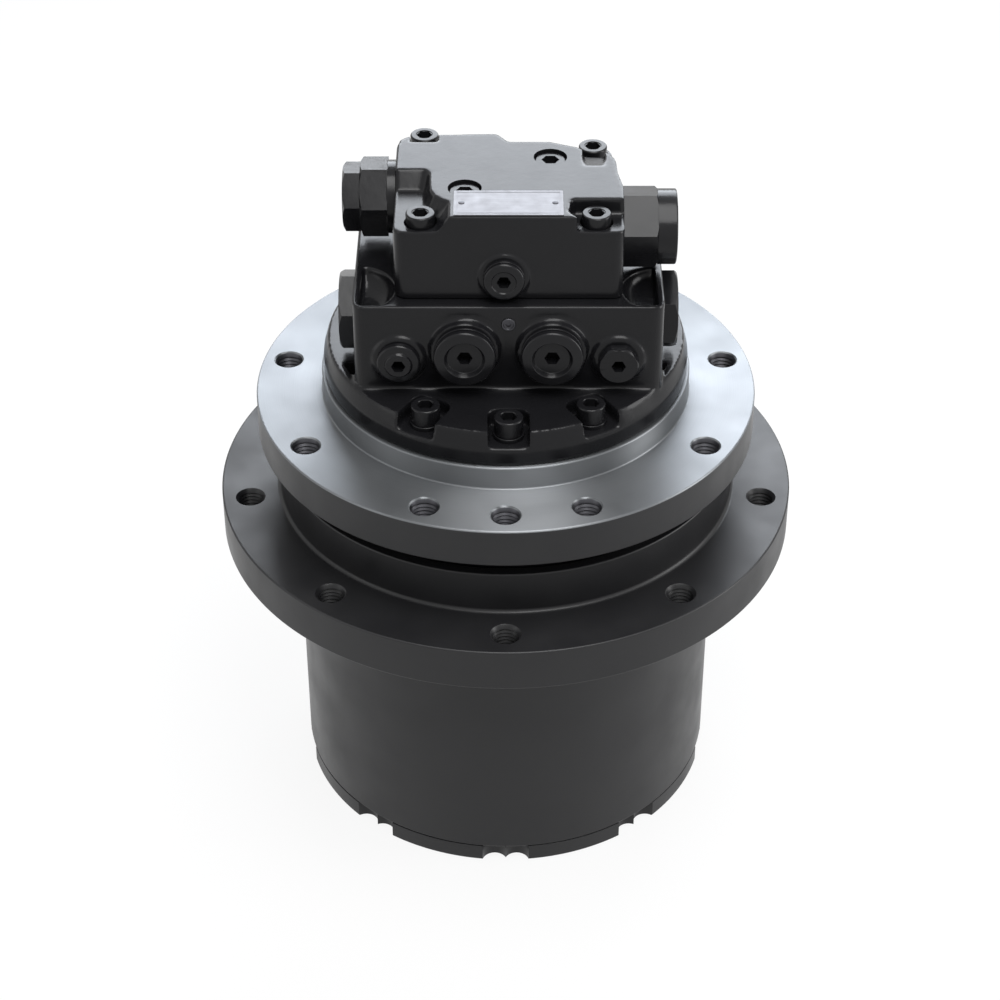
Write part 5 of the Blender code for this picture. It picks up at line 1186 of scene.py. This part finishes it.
def satin_paint():
    """Satin black on the turned hub, with faint lathe marks under it."""
    finish = Finish("satin_black_enamel", color=(0.012, 0.012, 0.013), metallic=0.0, roughness=0.4)
    clouds = finish.noise(scale=9, detail=4.0)
    finish.tinted(clouds, dark=(0.006, 0.006, 0.007), light=(0.012, 0.012, 0.013))
    finish.rough(finish.noise(scale=30, detail=5.0), low=0.34, high=0.47)
    relief = finish.layered(finish.grooves(scale=1500), finish.noise(scale=700, detail=2.0), share=0.4)
    finish.bump(relief, strength=0.20, distance=0.00008)
    finish.set("Specular IOR Level", 0.35)
    return finish.material


def turned_steel():
    """Bare steel faced on a lathe: rings, a spread sheen across them, faint stains."""
    finish = Finish("turned_steel", color=(0.22, 0.23, 0.24), metallic=1.0, roughness=0.46)
    rings = finish.grooves(scale=1700)
    faint_rings = finish.math("MULTIPLY", rings, RINGS_SHARE)
    stained = finish.layered(faint_rings, finish.noise(scale=16, detail=5.0), share=1 - RINGS_SHARE)
    finish.tinted(stained, dark=(0.135, 0.145, 0.15), light=(0.20, 0.205, 0.215))
    finish.rough(finish.noise(scale=26, detail=5.0), low=0.40, high=0.50)
    finish.bump(rings, strength=0.25, distance=0.00006)
    finish.set("Anisotropic", 0.85)
    finish.set("Anisotropic Rotation", 0.25)
    tangent = finish.tree.nodes.new("ShaderNodeTangent")
    tangent.direction_type = "RADIAL"
    tangent.axis = "Z"
    finish.link(tangent.outputs[0], "Tangent")
    return finish.material


def plain_metal(name, dark, light, low, high, scale=60, metallic=1.0):
    """A metal or lining with a fine mottled finish, its roughness between low and high."""
    middle = tuple((a + b) / 2 for a, b in zip(dark, light))
    finish = Finish(name, middle, metallic, roughness=(low + high) / 2)
    finish.tinted(finish.noise(scale, detail=4.0), dark, light)
    finish.rough(finish.noise(scale * ROUGHNESS_SCALE_RATIO, detail=4.0), low, high)
    finish.bump(finish.noise(scale * RELIEF_SCALE_RATIO, detail=2.0), strength=0.15, distance=0.0001)
    return finish.material


def brushed_plate():
    """Bare aluminium sheet with a brushed grain along its length."""
    finish = Finish("brushed_aluminium", color=(0.26, 0.27, 0.28), metallic=1.0, roughness=0.55)
    stretch = add_node(finish.tree, "Mapping", {"Vector": finish.where, "Scale": (0.02, 1.0, 1.0)})
    grain = finish.noise(scale=2600, detail=3.0, vector=stretch.outputs[0])
    finish.tinted(grain, dark=(0.15, 0.15, 0.16), light=(0.22, 0.22, 0.23))
    finish.rough(finish.noise(scale=150, detail=4.0), low=0.50, high=0.60)
    finish.bump(grain, strength=0.2, distance=0.00003)
    return finish.material


def dress_cad_nodes(finishes):
    """Every CAD node that still shows gets the worked-out material of its slot."""
    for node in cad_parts.values():
        for slot in node.material_slots:
            slot.material = finishes.get(slot.material.name, slot.material)


def seen_directly(tree):
    """1 for camera, glossy and transmission rays, and 0 for the rest."""
    path = tree.nodes.new("ShaderNodeLightPath")
    seen = path.outputs["Is Camera Ray"]
    for ray in ("Is Glossy Ray", "Is Transmission Ray"):
        seen = calculated(tree, "MAXIMUM", seen, path.outputs[ray])
    return seen


def make_floor():
    """A pale floor that keeps the drive's shadow and is white for the camera and in reflections."""
    mesh = bmesh.new()
    bmesh.ops.create_circle(mesh, cap_ends=True, segments=FITTING_SIDES, radius=FLOOR_RADIUS)
    floor = new_piece("floor", mesh)
    floor.location.z = cad_box[0].z - FLOOR_GAP
    material = bpy.data.materials.new("pale_floor")
    material.use_nodes = True
    tree = material.node_tree
    tree.nodes.clear()
    diffuse = add_node(tree, "BsdfDiffuse", {"Color": (*FLOOR_COLOR, 1)})
    glow = add_node(tree, "Emission", {})
    share = calculated(tree, "MULTIPLY", seen_directly(tree), FLOOR_GLOW_SHARE)
    mix = add_node(tree, "MixShader", {0: share, 1: diffuse.outputs[0], 2: glow.outputs[0]})
    add_node(tree, "OutputMaterial", {0: mix.outputs[0]})
    floor.data.materials.append(material)


def make_world():
    """White surroundings, softer where they light the object."""
    world = bpy.data.worlds.new("studio")
    bpy.context.scene.world = world
    world.use_nodes = True
    tree = world.node_tree
    background = tree.nodes["Background"]
    background.inputs["Color"].default_value = (*WHITE, 1)
    inputs = {"Value": seen_directly(tree), "To Min": WORLD_LIGHT, "To Max": 1.0}
    strength = add_node(tree, "MapRange", inputs)
    tree.links.new(strength.outputs[0], background.inputs["Strength"])


def softbox(name, place, target, size, radiance, color=WHITE):
    """A rectangular lamp that faces the target, its power worked out from how bright its face is."""
    lamp = bpy.data.lights.new(name, "AREA")
    lamp.shape = "RECTANGLE"
    lamp.size, lamp.size_y = size
    lamp.energy = radiance * math.pi * size[0] * size[1]
    lamp.color = color
    holder = linked(name, lamp)
    holder.location = place
    aim = Vector(target) - Vector(place)
    holder.rotation_euler = aim.to_track_quat("-Z", "Y").to_euler()
    holder.visible_camera = False


def make_lamps():
    """Large lamps behind, above and at both sides, placed by their reflections in the photograph."""
    softbox("back_softbox", place=(0.15, 1.12, 0.98), target=(0, 0, 0.38), size=(1.1, 0.75),
            radiance=7.2, color=COLD_WHITE)
    softbox("top_softbox", place=(0.12, -0.38, 1.35), target=(0, -0.05, 0.33), size=(0.6, 1.1), radiance=7.5)
    softbox("left_softbox", place=(-1.3, -0.6, 0.55), target=(0, 0, 0.2), size=(0.7, 1.0), radiance=1.0)
    softbox("right_softbox", place=(1.2, -0.15, 0.55), target=(0, 0, 0.2), size=(0.5, 1.0), radiance=5.0)


def make_camera():
    """The camera at the photograph's viewing angle."""
    data = bpy.data.cameras.new("camera")
    data.lens = CAMERA_LENS
    data.sensor_width = CAMERA_SENSOR
    data.shift_x = CAMERA_SHIFT
    camera = linked("camera", data)
    elevation = math.radians(CAMERA_ELEVATION)
    back = CAMERA_DISTANCE * math.cos(elevation)
    up = CAMERA_DISTANCE * math.sin(elevation)
    camera.location = (0, -back, CAMERA_TARGET_Z + up)
    camera.rotation_euler = (math.pi / 2 - elevation, 0, 0)
    bpy.context.scene.camera = camera


gloss = gloss_paint()
satin = satin_paint()
steel = turned_steel()
# Dark steel for rivets and the orifice screw, and painted shade in the frame flange's tapped holes
dark = plain_metal(*BLACK_OXIDE_AND_HOLE_SHADE)
finishes = {"gloss_black": gloss, "satin_black": satin}
for slot_name, look in PLAIN_FINISHES.items():
    finishes[slot_name] = plain_metal(*look)
finishes["plate"] = brushed_plate()

make_hub(satin)
make_spindle(steel, satin, dark)
make_end_cover(satin)
make_motor_cover(gloss)
make_valve_block(gloss)
make_cap_screws(gloss)
make_plugs(gloss)
make_spool_cap(gloss)
make_cartridge_valve(gloss)
make_relief_valves(gloss)
make_nameplate(finishes["plate"], dark)
make_orifice_screw(dark)
make_brake_spring(finishes["dark_steel"])
dress_cad_nodes(finishes)

make_floor()
make_world()
make_lamps()
make_camera()
bpy.context.scene.view_settings.view_transform = "Standard"
